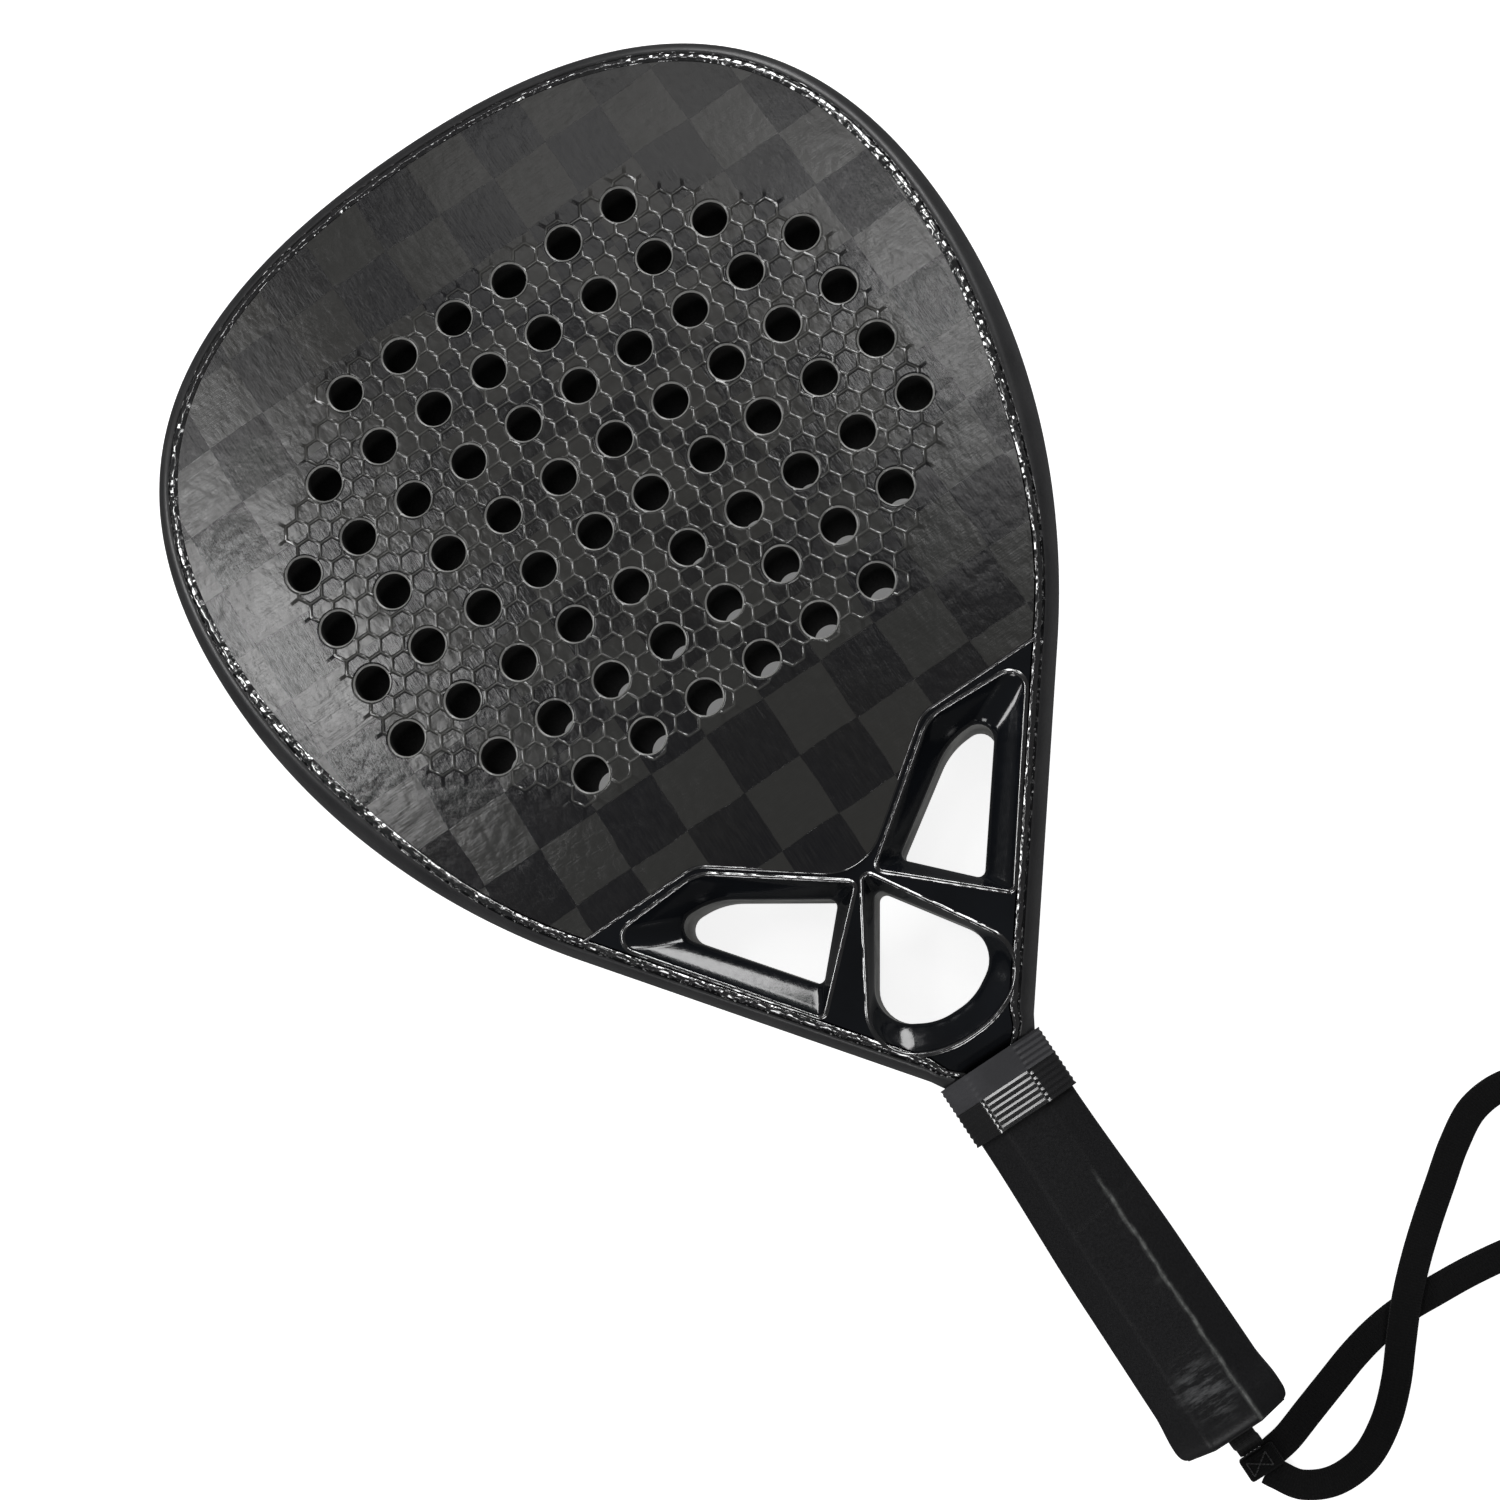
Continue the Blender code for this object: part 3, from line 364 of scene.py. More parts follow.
CAD_LOOKS = {  # the surface of each CAD node that stays
    "cap_plastic": ("butt_cap",),
    "drawn_steel": ("front_staple", "rear_staple", "strap_pin"),
    "rigid_foam": ("front_pallet", "rear_pallet"),
    "folded_webbing": ("strap_end_fold",),
}
CAP_ROUNDING = 0.9 * MM

# Lacquer, wrap and webbing
LACQUER = (0.004, 0.0042, 0.005)
WAVE_SCALE = 290.0
BEAD_WAVES = 1.2 * MM
RIDGE_WAVES = 0.2 * MM
WRAP_DARK, WRAP_LIGHT = (0.0045, 0.0045, 0.005), (0.0075, 0.0075, 0.0085)
# tone of the worn edge, which is also a painted highlight
WRAP_WEAR_HIGHLIGHT = (0.15, 0.155, 0.15)
# tone of the scuffed patch, which is also a painted sheen
WRAP_SCUFF_AND_SHEEN = (0.11, 0.112, 0.115)
WRAP_STREAKS = (110.0, 520.0, 260.0)
WRAP_GRAIN_SCALE, WRAP_PATCH_SCALE, WEBBING_FUZZ_SCALE = 1500.0, 420.0, 2600.0
WRAP_GRAIN_DEPTH = 0.06 * MM
WEBBING_DARK, WEBBING_LIGHT = (0.0012, 0.0012, 0.0013), (0.0040, 0.0040, 0.0042)
WEBBING_FUZZ = (0.009, 0.009, 0.0095)
WEBBING_YARNS = 24
WEBBING_PICK = 0.8 * MM
WEBBING_SLANT = 1.2
WEAVE_DEPTH = 0.16 * MM


# ---------------- materials
def new_material(name, color, roughness, **sockets):
    """A Principled material; the other sockets are named by their words joined with _."""
    material = bpy.data.materials.new(name)
    material.use_nodes = True
    shader = material.node_tree.nodes["Principled BSDF"]
    shader.inputs["Base Color"].default_value = (*color, 1.0)
    shader.inputs["Roughness"].default_value = roughness
    for words, value in sockets.items():
        shader.inputs[words.replace("_", " ").title().replace("Ior", "IOR")].default_value = value
    return material


def shader_of(material):
    return material.node_tree.nodes["Principled BSDF"]


def add_node(material, kind, **settings):
    node = material.node_tree.nodes.new("ShaderNode" + kind)
    for key, value in settings.items():
        setattr(node, key, value)
    return node


def feed(material, value, socket):
    """Puts a number or another node's output into a socket."""
    if isinstance(value, bpy.types.NodeSocket):
        material.node_tree.links.new(value, socket)
    else:
        socket.default_value = value


def calc(material, operation, *values):
    node = add_node(material, "Math", operation=operation)
    for value, socket in zip(values, node.inputs):
        feed(material, value, socket)
    return node.outputs[0]


def place(material, scale=(1.0, 1.0, 1.0)):
    """Coordinates fixed to the object, in metres times scale."""
    coordinates = add_node(material, "TexCoord")
    mapping = add_node(material, "Mapping")
    mapping.inputs["Scale"].default_value = scale
    material.node_tree.links.new(coordinates.outputs["Object"], mapping.inputs["Vector"])
    return mapping.outputs[0]


def noise_value(material, vector, scale, detail=3.0, roughness=0.55):
    node = add_node(material, "TexNoise")
    feed(material, vector, node.inputs["Vector"])
    node.inputs["Scale"].default_value = scale
    node.inputs["Detail"].default_value = detail
    node.inputs["Roughness"].default_value = roughness
    return node.outputs["Fac"]


def ramp(material, value, low, high, to_low=0.0, to_high=1.0):
    """value from low..high to to_low..to_high, held at the ends."""
    node = add_node(material, "MapRange")
    for socket, number in zip(node.inputs, (value, low, high, to_low, to_high)):
        feed(material, number, socket)
    return node.outputs[0]


def mix_color(material, share, first, second):
    node = add_node(material, "Mix", data_type="RGBA")
    sockets = [s for s in node.inputs if s.enabled]
    feed(material, share, sockets[0])
    for color, socket in zip((first, second), sockets[1:3]):
        feed(material, color if isinstance(color, bpy.types.NodeSocket) else (*color, 1.0), socket)
    return [s for s in node.outputs if s.enabled][0]


def bump(material, height, depth, into=None):
    """Adds a bump of that depth in metres before the shader, on top of the one given."""
    node = add_node(material, "Bump")
    node.inputs["Distance"].default_value = depth
    feed(material, height, node.inputs["Height"])
    if into is not None:
        feed(material, into, node.inputs["Normal"])
    return node.outputs[0]


def finish_material(material, color, roughness, normal, coat_too=False):
    """Links the colour (kept if it is None), the roughness and the bumps to the shader."""
    links = {"Base Color": color, "Roughness": roughness, "Normal": normal}
    if coat_too:
        links["Coat Normal"] = normal
    for socket, value in links.items():
        if value is not None:
            feed(material, value, shader_of(material).inputs[socket])
    return material


def mottled(name):
    """One of the SURFACES."""
    dark, light, roughness, patch, grain, depth, sockets = SURFACES[name]
    material = new_material(name, light, roughness[0], **sockets)
    vector = place(material)
    patches = noise_value(material, vector, patch, 5.0)
    fine = noise_value(material, vector, grain, 4.0, 0.65)
    color = mix_color(material, ramp(material, patches, 0.35, 0.65), dark, light)
    gloss = ramp(material, fine, 0.3, 0.7, *roughness)
    return finish_material(material, color, gloss, bump(material, fine, depth * MM))


def checked_carbon():
    """Clear-coated carbon cloth woven in squares 19 mm wide, crinkled outside the relief, with a painted
    highlight on the relief's crests.
    """
    material = new_material(
        "checked_carbon", (0.03, 0.03, 0.03), 0.35,
        coat_weight=0.6, coat_roughness=0.12, specular_ior_level=0.35,
    )
    vector = place(material)
    parts = add_node(material, "SeparateXYZ")
    feed(material, vector, parts.inputs[0])
    drift = noise_value(material, vector, DRIFT_SCALE, 2.0)
    drift = calc(material, "MULTIPLY", calc(material, "SUBTRACT", drift, 0.5), CHECK_DRIFT)
    across = calc(material, "ADD", parts.outputs["X"], drift)
    along = calc(material, "SUBTRACT", parts.outputs["Y"], drift)
    across = calc(material, "DIVIDE", calc(material, "SUBTRACT", across, CHECK_X), CHECK_WIDE)
    along = calc(material, "DIVIDE", calc(material, "SUBTRACT", along, CHECK_Y), CHECK_LONG)
    parity = calc(
        material, "FLOORED_MODULO",
        calc(material, "ADD", calc(material, "FLOOR", across), calc(material, "FLOOR", along)), 2.0,
    )
    edges = [
        calc(material, "ABSOLUTE", calc(material, "SUBTRACT", calc(material, "FRACT", share), 0.5))
        for share in (across, along)
    ]
    seam = ramp(material, calc(material, "MAXIMUM", *edges), 0.484, 0.497)

    fibre_x = noise_value(material, place(material, (FIBRE_LONG, FIBRE_FINE, 1.0)), 1.0)
    fibre_y = noise_value(material, place(material, (FIBRE_FINE, FIBRE_LONG, 1.0)), 1.0)
    fibre = calc(
        material, "ADD",
        calc(material, "MULTIPLY", fibre_x, parity),
        calc(material, "MULTIPLY", fibre_y, calc(material, "SUBTRACT", 1.0, parity)),
    )
    patches = noise_value(material, vector, PATCH_SCALE, 4.0)
    warmth = ramp(material, noise_value(material, vector, WARMTH_SCALE, 2.0), 0.40, 0.62)
    light = mix_color(material, warmth, CHECK_LIGHT, CHECK_WARM)
    dark = mix_color(material, ramp(material, patches, 0.4, 0.7), CHECK_DARK, CHECK_DARK_WARM)
    color = mix_color(material, parity, dark, light)
    color = mix_color(material, ramp(material, fibre, 0.42, 0.75, 0.0, FIBRE_SHARE), color, CHECK_FIBRE)
    color = mix_color(material, calc(material, "MULTIPLY", seam, SEAM_SHARE), color, CHECK_SEAM)

    # painted highlight: lighter towards the relief's crests, by their height
    crest = add_node(material, "Attribute", attribute_name="crest").outputs["Fac"]
    color = mix_color(material, calc(material, "MULTIPLY", crest, RIDGE_HIGHLIGHT_SHARE), color, CHECK_RIDGE_HIGHLIGHT)

    crinkle = noise_value(material, place(material, CRINKLE_SCALE), 1.0, 3.0, 0.5)
    cloud = noise_value(material, vector, CLOUD_SCALE)
    height = calc(
        material, "ADD", calc(material, "MULTIPLY", crinkle, 0.7), calc(material, "MULTIPLY", fibre, 0.3),
    )
    normal = bump(material, height, CRINKLE_DEPTH)
    normal = bump(material, cloud, CLOUD_DEPTH, normal)
    gloss = ramp(material, crinkle, 0.35, 0.7, 0.14, 0.21)
    return finish_material(material, color, gloss, normal, coat_too=True)


def rippled_lacquer(name, wave_depth):
    """Thick black lacquer in waves of that depth, which break reflections into dashes."""
    material = new_material(
        name, LACQUER, 0.12,
        coat_weight=1.0, coat_roughness=0.12, coat_ior=1.9, specular_ior_level=1.0,
    )
    waves = noise_value(material, place(material), WAVE_SCALE, 1.0, 0.4)
    gloss = ramp(material, waves, 0.4, 0.6, 0.15, 0.25)
    return finish_material(material, None, gloss, bump(material, waves, wave_depth), coat_too=True)


def wrap_material():
    """Smooth black wrap with a worn edge, lightened also as a painted highlight, and a scuffed patch,
    lightened also as a painted sheen, from the mesh's own masks.
    """
    material = new_material("black_wrap", (0.01, 0.01, 0.011), 0.42, specular_ior_level=0.3)
    vector = place(material)
    fine = noise_value(material, vector, WRAP_GRAIN_SCALE, 4.0, 0.65)
    streaks = noise_value(material, place(material, WRAP_STREAKS), 1.0, 5.0, 0.7)
    wear_and_highlight = add_node(material, "Attribute", attribute_name="wear_and_highlight").outputs["Fac"]
    scuff_and_sheen = add_node(material, "Attribute", attribute_name="scuff_and_sheen").outputs["Fac"]
    patchy = ramp(material, noise_value(material, vector, WRAP_PATCH_SCALE, 5.0, 0.7), 0.38, 0.62)
    # painted highlight along the worn edge
    worn_highlight_share = calc(material, "MULTIPLY", wear_and_highlight, ramp(material, patchy, 0.0, 1.0, 0.35, 1.0))
    # painted sheen on the scuffed patch
    scuff_sheen_share = calc(material, "MULTIPLY", scuff_and_sheen, ramp(material, streaks, 0.46, 0.66))
    color = mix_color(material, ramp(material, fine, 0.3, 0.7), WRAP_DARK, WRAP_LIGHT)
    color = mix_color(material, worn_highlight_share, color, WRAP_WEAR_HIGHLIGHT)
    color = mix_color(material, calc(material, "MULTIPLY", scuff_sheen_share, 0.8), color, WRAP_SCUFF_AND_SHEEN)
    gloss = ramp(material, fine, 0.3, 0.7, 0.36, 0.50)
    return finish_material(material, color, gloss, bump(material, fine, WRAP_GRAIN_DEPTH))


def webbing_material():
    """Black woven webbing: ribs along it and picks across it, from the strap's own map."""
    material = new_material(
        "black_webbing", (0.006, 0.006, 0.006), 0.85, sheen_weight=0.04, sheen_roughness=0.5,
        specular_ior_level=0.12,
    )
    strap_map = add_node(material, "UVMap", uv_map="along").outputs[0]
    parts = add_node(material, "SeparateXYZ")
    feed(material, strap_map, parts.inputs[0])
    rib = calc(material, "SINE", calc(material, "MULTIPLY", parts.outputs["X"], math.tau * WEBBING_YARNS))
    turns = calc(material, "MULTIPLY", parts.outputs["Y"], math.tau / WEBBING_PICK)
    slant = calc(material, "MULTIPLY", rib, WEBBING_SLANT)
    pick = calc(material, "SINE", calc(material, "ADD", turns, slant))
    weave = ramp(material, calc(material, "ADD", rib, pick), -2.0, 2.0)
    fuzz = noise_value(material, place(material), WEBBING_FUZZ_SCALE)
    color = mix_color(material, weave, WEBBING_DARK, WEBBING_LIGHT)
    color = mix_color(material, ramp(material, fuzz, 0.62, 0.8, 0.0, 0.5), color, WEBBING_FUZZ)
    gloss = ramp(material, fuzz, 0.3, 0.7, 0.75, 0.95)
    return finish_material(material, color, gloss, bump(material, weave, WEAVE_DEPTH))


# ---------------- meshes
def add_mesh(name, mesh, *materials):
    piece = bpy.data.objects.new(name, mesh)
    bpy.context.scene.collection.objects.link(piece)
    for material in materials:
        mesh.materials.append(material)
    return piece


def smooth_by_angle(mesh, degrees):
    mesh.shade_smooth()
    mesh.set_sharp_from_angle(angle=math.radians(degrees))


def loft_faces(first, ring_count, point_count, joined=False):
    """Quads between rings of points numbered one ring after another from first."""
    faces = []
    last = ring_count if joined else ring_count - 1
    for row in range(last):
        a = first + row * point_count
        b = first + (row + 1) % ring_count * point_count
        for i in range(point_count):
            j = (i + 1) % point_count
            faces.append((a + i, a + j, b + j, b + i))
    return faces


def tidy_mesh(mesh, weld=WELD):
    """Joins points closer than weld, unless it is None, and turns all faces outwards."""
    form = bmesh.new()
    form.from_mesh(mesh)
    if weld is not None:
        bmesh.ops.remove_doubles(form, verts=form.verts, dist=weld)
    bmesh.ops.recalc_face_normals(form, faces=form.faces)
    form.to_mesh(mesh)
    form.free()


def add_solid(name, points, faces, numbers, materials, weld=WELD, sharp=50):
    """A solid of points and faces; numbers gives each face's material."""
    mesh = bpy.data.meshes.new(name)
    mesh.from_pydata(points, [], faces)
    mesh.polygons.foreach_set("material_index", numbers)
    tidy_mesh(mesh, weld)
    smooth_by_angle(mesh, sharp)
    return add_mesh(name, mesh, *materials)


def direction(path, index):
    """The unit vector along an open path at one of its points."""
    return (path[min(index + 1, len(path) - 1)] - path[max(index - 1, 0)]).normalized()


def mirrored(points):
    return [Vector((-point.x, point.y)) for point in points]


def sweep(name, rings, materials, zones=None, joined=False, sharp=50):
    """A closed solid through rings of points; zones gives each strip's material number."""
    count = len(rings[0])
    points = [point for ring in rings for point in ring]
    faces = loft_faces(0, len(rings), count, joined)
    numbers = [zones[i % count] if zones else 0 for i in range(len(faces))]
    if not joined:
        faces += [tuple(range(count)), tuple(range(len(points) - count, len(points)))]
        numbers += [0, 0]
    return add_solid(name, points, faces, numbers, materials, sharp=sharp)


def cubic(a, b, c, d, t):
    s = 1.0 - t
    return a * s ** 3 + b * 3 * s * s * t + c * 3 * s * t * t + d * t ** 3


def ease(t):
    t = min(max(t, 0.0), 1.0)
    return t * t * (3.0 - 2.0 * t)


def rounded(corners, arc_steps, run_steps=1):
    """A polygon with corners (x, y, radius) rounded, its straight runs cut in run_steps."""
    arcs = []
    count = len(corners)
    for index, (x, y, radius) in enumerate(corners):
        corner = Vector((x, y))
        before = (Vector(corners[index - 1][:2]) - corner).normalized()
        after = (Vector(corners[(index + 1) % count][:2]) - corner).normalized()
        half_angle = before.angle(after) / 2
        centre = corner + (before + after).normalized() * radius / math.sin(half_angle)
        start = corner + before * radius / math.tan(half_angle) - centre
        turn = start.angle_signed(corner + after * radius / math.tan(half_angle) - centre)
        arcs.append([
            centre + Matrix.Rotation(-turn * step / arc_steps, 2) @ start
            for step in range(arc_steps + 1)
        ])
    outline = []
    for arc, following in zip(arcs, arcs[1:] + arcs[:1]):
        outline += arc
        outline += [arc[-1].lerp(following[0], step / run_steps) for step in range(1, run_steps)]
    return outline


def smooth_route(route, spacing):
    """Points at about an even spacing on a smooth curve through the route's points."""
    route = [Vector(point) for point in route]
    ends = [route[0] * 2 - route[1], *route, route[-1] * 2 - route[-2]]
    points = []
    for a, b, c, d in zip(ends, ends[1:], ends[2:], ends[3:]):
        steps = max(1, round((c - b).length / spacing))
        for step in range(steps):
            t = step / steps
            points.append(
                0.5 * (
                    2 * b + (c - a) * t + (2 * a - 5 * b + 4 * c - d) * t * t
                    + (3 * b - a - 3 * c + d) * t ** 3
                )
            )
    return [*points, route[-1]]


# ---------------- outline and thickness
def outline_half():
    """The right half of the outline, from the tip down to inside the collar."""
    leg_direction = (LEG_TOP - LEG_FOOT).normalized()
    head = (
        Vector((0.0, TIP_Y)),
        Vector((TIP_REACH, TIP_Y)),
        Vector((HALF_WIDTH, WIDEST_Y + SHOULDER_REACH)),
        Vector((HALF_WIDTH, WIDEST_Y)),
    )
    cheek = (
        head[3],
        Vector((HALF_WIDTH, WIDEST_Y - CHEEK_REACH)),
        LEG_TOP + leg_direction * LEG_TOP_REACH,
        LEG_TOP,
    )
    points = [cubic(*head, step / HEAD_STEPS) for step in range(HEAD_STEPS)]
    points += [cubic(*cheek, step / CHEEK_STEPS) for step in range(CHEEK_STEPS)]
    points += [LEG_TOP.lerp(LEG_FOOT, step / LEG_STEPS) for step in range(LEG_STEPS + 1)]
    return points + [NECK, NECK_END]


def inward(points, index):
    if index == 0:
        return Vector((0.0, -1.0))
    if points[index].y < LEG_FOOT.y + FOOT_MARGIN:
        return Vector((-1.0, 0.0))
    along = (points[index + 1] - points[index - 1]).normalized()
    return Vector((along.y, -along.x))


def bead_offset(y):
    if y < LEG_FOOT.y:
        share = (LEG_FOOT.y - y) / (LEG_FOOT.y - NECK.y)
        return LEG_BEAD + (NECK_BEAD - LEG_BEAD) * min(share, 1.0)
    share = ease((y - NARROWS_TO_Y) / (NARROWS_FROM_Y - NARROWS_TO_Y))
    return LEG_BEAD + (HEAD_BEAD - LEG_BEAD) * share


def half_thickness(y):
    """Half the racket's thickness at y, which drops quickly inside the collar."""
    if y < LEG_FOOT.y:
        at_foot = half_thickness(LEG_FOOT.y)
        if y < NECK.y:
            return NECK_HALF + (NECK_END_HALF - NECK_HALF) * (NECK.y - y) / (NECK.y - NECK_END.y)
        return at_foot + (NECK_HALF - at_foot) * (LEG_FOOT.y - y) / (LEG_FOOT.y - NECK.y)
    share = min(max((THROAT_TOP_Y - y) / (THROAT_TOP_Y - COLLAR_TOP_Y), 0.0), 1.0)
    return HALF + (COLLAR_HALF - HALF) * share


def inset_half(inset):
    """The right half moved inwards to a distance inside the bead's line."""
    points = outline_half()
    return [p + inward(points, i) * (bead_offset(p.y) + inset) for i, p in enumerate(points)]


def cut_below(points, lowest):
    kept = []
    for point in points:
        if point.y <= lowest:
            above = kept[-1]
            kept.append(above.lerp(point, (above.y - lowest) / (above.y - point.y)))
            break
        kept.append(point)
    return kept


def heart_line():
    """The lower edge of the faces from left to right, without its ends."""
    far = HALF_WIDTH
    corners = (
        (-far, HEART_SHOULDER.y, MM),
        (-HEART_SHOULDER.x, HEART_SHOULDER.y, HEART_SHOULDER_RADIUS),
        (0.0, HEART_V_Y, HEART_V_RADIUS),
        (HEART_SHOULDER.x, HEART_SHOULDER.y, HEART_SHOULDER_RADIUS),
        (far, HEART_SHOULDER.y, MM),
        (0.0, -far, MM),
    )
    per_corner = HEART_ARC_STEPS + HEART_RUN_STEPS
    return rounded(corners, HEART_ARC_STEPS, HEART_RUN_STEPS)[per_corner:3 * per_corner + HEART_ARC_STEPS + 1]


# ---------------- rim
def rim_profile(bead, half, rise, sway):
    """The upper half of the tube's section as (inwards, height) points."""
    band_end = bead - GROOVE_OUT
    reach = BEAD_REACH * bead / HEAD_BEAD
    profile = []
    for step in range(BAND_STEPS + 1):
        angle = math.pi / 2 * step / BAND_STEPS
        across = band_end * (1.0 - math.cos(angle))
        profile.append((across, (half - BAND_DROP) * math.sin(angle) ** BAND_FULLNESS))
    profile.append((bead - GROOVE_MID, half - GROOVE_DEPTH))
    for step in range(BEAD_STEPS + 1):
        share = 2 * step / BEAD_STEPS - 1.0
        across = bead - BEAD_IN + reach * share + sway * (1.0 - share * share)
        drop = BEAD_SLOPE * reach * (math.hypot(share, BEAD_SOFTNESS) - BEAD_SOFTNESS)
        profile.append((across, half - rise - drop))
    profile.append((bead + LIP, half - LIP_DEPTH))
    return profile


def ripple(point, seed):
    """A value from 0 to 1 that changes along the rim every few millimetres."""
    where = Vector((point.x, point.y, seed)) / RIPPLE_LENGTH
    return min(max(0.5 + noise.noise(where) * RIPPLE_GAIN, 0.0), 1.0)


def rim(materials):
    points = outline_half()
    right, left = [], []
    for index, point in enumerate(points):
        into = inward(points, index)
        half = half_thickness(point.y)
        for side, rings in ((1, right), (-1, left)):
            spot = Vector((point.x * side, point.y))
            rise = BEAD_RIPPLE * ripple(spot, RISE_SEED)
            sway = BEAD_SWAY * (ripple(spot, SWAY_SEED) - 0.5)
            top = rim_profile(bead_offset(point.y), half, rise, sway)
            section = top + [(u, -h) for u, h in reversed(top[1:])]
            rings.append([
                ((point.x + into.x * u) * side, point.y + into.y * u, HALF + h) for u, h in section
            ])
    upper = len(rim_profile(HEAD_BEAD, HALF, 0.0, 0.0))
    section_count = 2 * upper - 1
    zones = [0 if i < BAND_STEPS or i >= section_count - BAND_STEPS else 1 for i in range(section_count)]
    return sweep("rim", list(reversed(left[1:])) + right, materials, zones, sharp=60)


# ---------------- throat
def inside(polygon, places):
    """Which of the places (an array of x, y) lie inside a polygon."""
    x, y = places[:, 0], places[:, 1]
    within = np.zeros(len(places), bool)
    for (ax, ay), (bx, by) in zip(polygon, polygon[1:] + polygon[:1]):
        if ay == by:
            continue
        crosses = (ay > y) != (by > y)
        within ^= crosses & (x < (bx - ax) * (y - ay) / (by - ay) + ax)
    return within


def triangulated(loops, outer, is_open):
    """Points and triangles that fill outer, following every loop, except where is_open."""
    points, edges = [], []
    for loop in loops:
        first = len(points)
        points += [Vector(p[:2]) / MM for p in loop]
        edges += [(first + i, first + (i + 1) % len(loop)) for i in range(len(loop))]
    places, _, faces, *_ = delaunay_2d_cdt(points, edges, [], 0, CDT_WELD)
    places = np.array([tuple(p) for p in places]) * MM
    faces = np.array([face for face in faces])
    middles = places[faces].mean(axis=1)
    keep = inside([tuple(p[:2]) for p in outer], middles) & ~is_open(middles)
    return places, faces[keep]


def window_rings(front, waist, side):
    """Rings of one window from the flat front to the waist; side is -1 for the left one."""
    front, waist = (
        [Vector((p.x * side, p.y)) * MM for p in rounded(corners, WINDOW_ARC_STEPS, WINDOW_RUN_STEPS)]
        for corners in (front, waist)
    )
    middle = sum(front, Vector((0.0, 0.0))) / len(front)
    outwards = []
    for index, point in enumerate(front):
        along = (front[(index + 1) % len(front)] - front[index - 1]).normalized()
        out = Vector((along.y, -along.x))
        outwards.append(out if out.dot(point - middle) > 0 else -out)
    rings = []
    for number, (away, drop) in enumerate(RIDGE):
        ring = []
        for point, out in zip(front, outwards):
            spot = point + out * away * MM
            dip = RIDGE_RIPPLE * ripple(point, WINDOW_SEED) if 0 < number < len(RIDGE) - 1 else 0.0
            ring.append((spot.x, spot.y, half_thickness(point.y) - drop * MM - dip))
        rings.append(ring)
    for share, depth in WALL:
        rings.append([
            (*point.lerp(narrow, share), (half_thickness(point.y) - RIDGE[-1][1] * MM) * (1.0 - depth))
            for point, narrow in zip(front, waist)
        ])
    return rings


def wall_zone(strip, rings):
    """Which material a strip of a window's wall has: lacquer, trimmed waist or ridge."""
    if strip == rings - 1:
        return 1
    return 2 if min(strip, 2 * rings - 2 - strip) < len(RIDGE) - 1 else 0


def throat(materials):
    """The moulded throat; materials are its lacquer, the trimmed waists and the windows' ridges."""
    windows = [
        window_rings(SIDE_WINDOW_FRONT, SIDE_WINDOW_WAIST, 1),
        window_rings(SIDE_WINDOW_FRONT, SIDE_WINDOW_WAIST, -1),
        window_rings(LOW_WINDOW_FRONT, LOW_WINDOW_WAIST, 1),
    ]
    inner = inset_half(SKIN_INSET)
    top = cut_below(inner, HEART_SHOULDER.y)[-1]
    side = [top] + [p for p in inner if p.y < HEART_SHOULDER.y][:-1]
    heart = heart_line()
    outer = heart + side + mirrored(reversed(side))
    foot_row = [Vector((side[-2].x * share, LEG_FOOT.y)) for share in (-1.0, -0.5, 0.5, 1.0)]

    def is_open(places):
        return np.any([inside([p[:2] for p in rings[0]], places) for rings in windows], axis=0)

    places, faces = triangulated([outer, foot_row, *(rings[0] for rings in windows)], outer, is_open)
    height = np.array([half_thickness(y) - YOKE_DROP for y in places[:, 1]])
    points, polygons, zones = [], [], []
    for up in (1, -1):
        first = len(points)
        points += [(x, y, HALF + up * h) for (x, y), h in zip(places, height)]
        polygons += [tuple(first + i for i in face) for face in faces.tolist()]
        zones += [0] * len(faces)
    for rings in windows:
        lower = [[(x, y, -h) for x, y, h in ring] for ring in reversed(rings)]
        count = len(rings[0])
        strips = loft_faces(len(points), 2 * len(rings), count)
        points += [(x, y, HALF + h) for ring in rings + lower for x, y, h in ring]
        polygons += strips
        zones += [wall_zone(i // count, len(rings)) for i in range(len(strips))]
    strips = loft_faces(len(points), 2, len(outer))
    skirt = [(p.x, p.y, half_thickness(p.y) - YOKE_DROP) for p in outer]
    points += [(x, y, HALF + up * h) for up in (1, -1) for x, y, h in skirt]
    polygons += strips
    zones += [0] * len(strips)
    return add_solid("throat", points, polygons, zones, materials, THROAT_WELD, 40)


def heart_lip(name, up, materials):
    """The moulded lip along the lower edge of a face; up is 1 in front and -1 behind."""
    line = heart_line()
    ends = cut_below(inset_half(0.0), HEART_SHOULDER.y)[-1]
    path = [Vector((-ends.x, ends.y))] + line + [ends]
    rings = []
    for index, point in enumerate(path):
        along = direction(path, index)
        out = Vector((along.y, -along.x))
        centre_h = half_thickness(point.y) - HEART_LIP_CREST - HEART_LIP_RADIUS
        dip = RIDGE_RIPPLE * ripple(point, LIP_SEED)
        ring = []
        for step in range(HEART_LIP_SIDES):
            angle = math.tau * step / HEART_LIP_SIDES
            across = HEART_LIP_RADIUS * math.cos(angle)
            height = centre_h - dip + HEART_LIP_RADIUS * math.sin(angle)
            ring.append((point.x + out.x * across, point.y + out.y * across, HALF + up * height))
        rings.append(ring)
    return sweep(name, rings, materials, sharp=60)


# ---------------- faces and core
def hole_centres():
    rows = len(HOLE_ROWS)
    for row, count in enumerate(HOLE_ROWS):
        y = HOLES_Y + ((rows - 1) / 2 - row) * HOLE_PITCH
        for number in range(count):
            yield Vector(((number - (count - 1) / 2) * HOLE_PITCH, y))


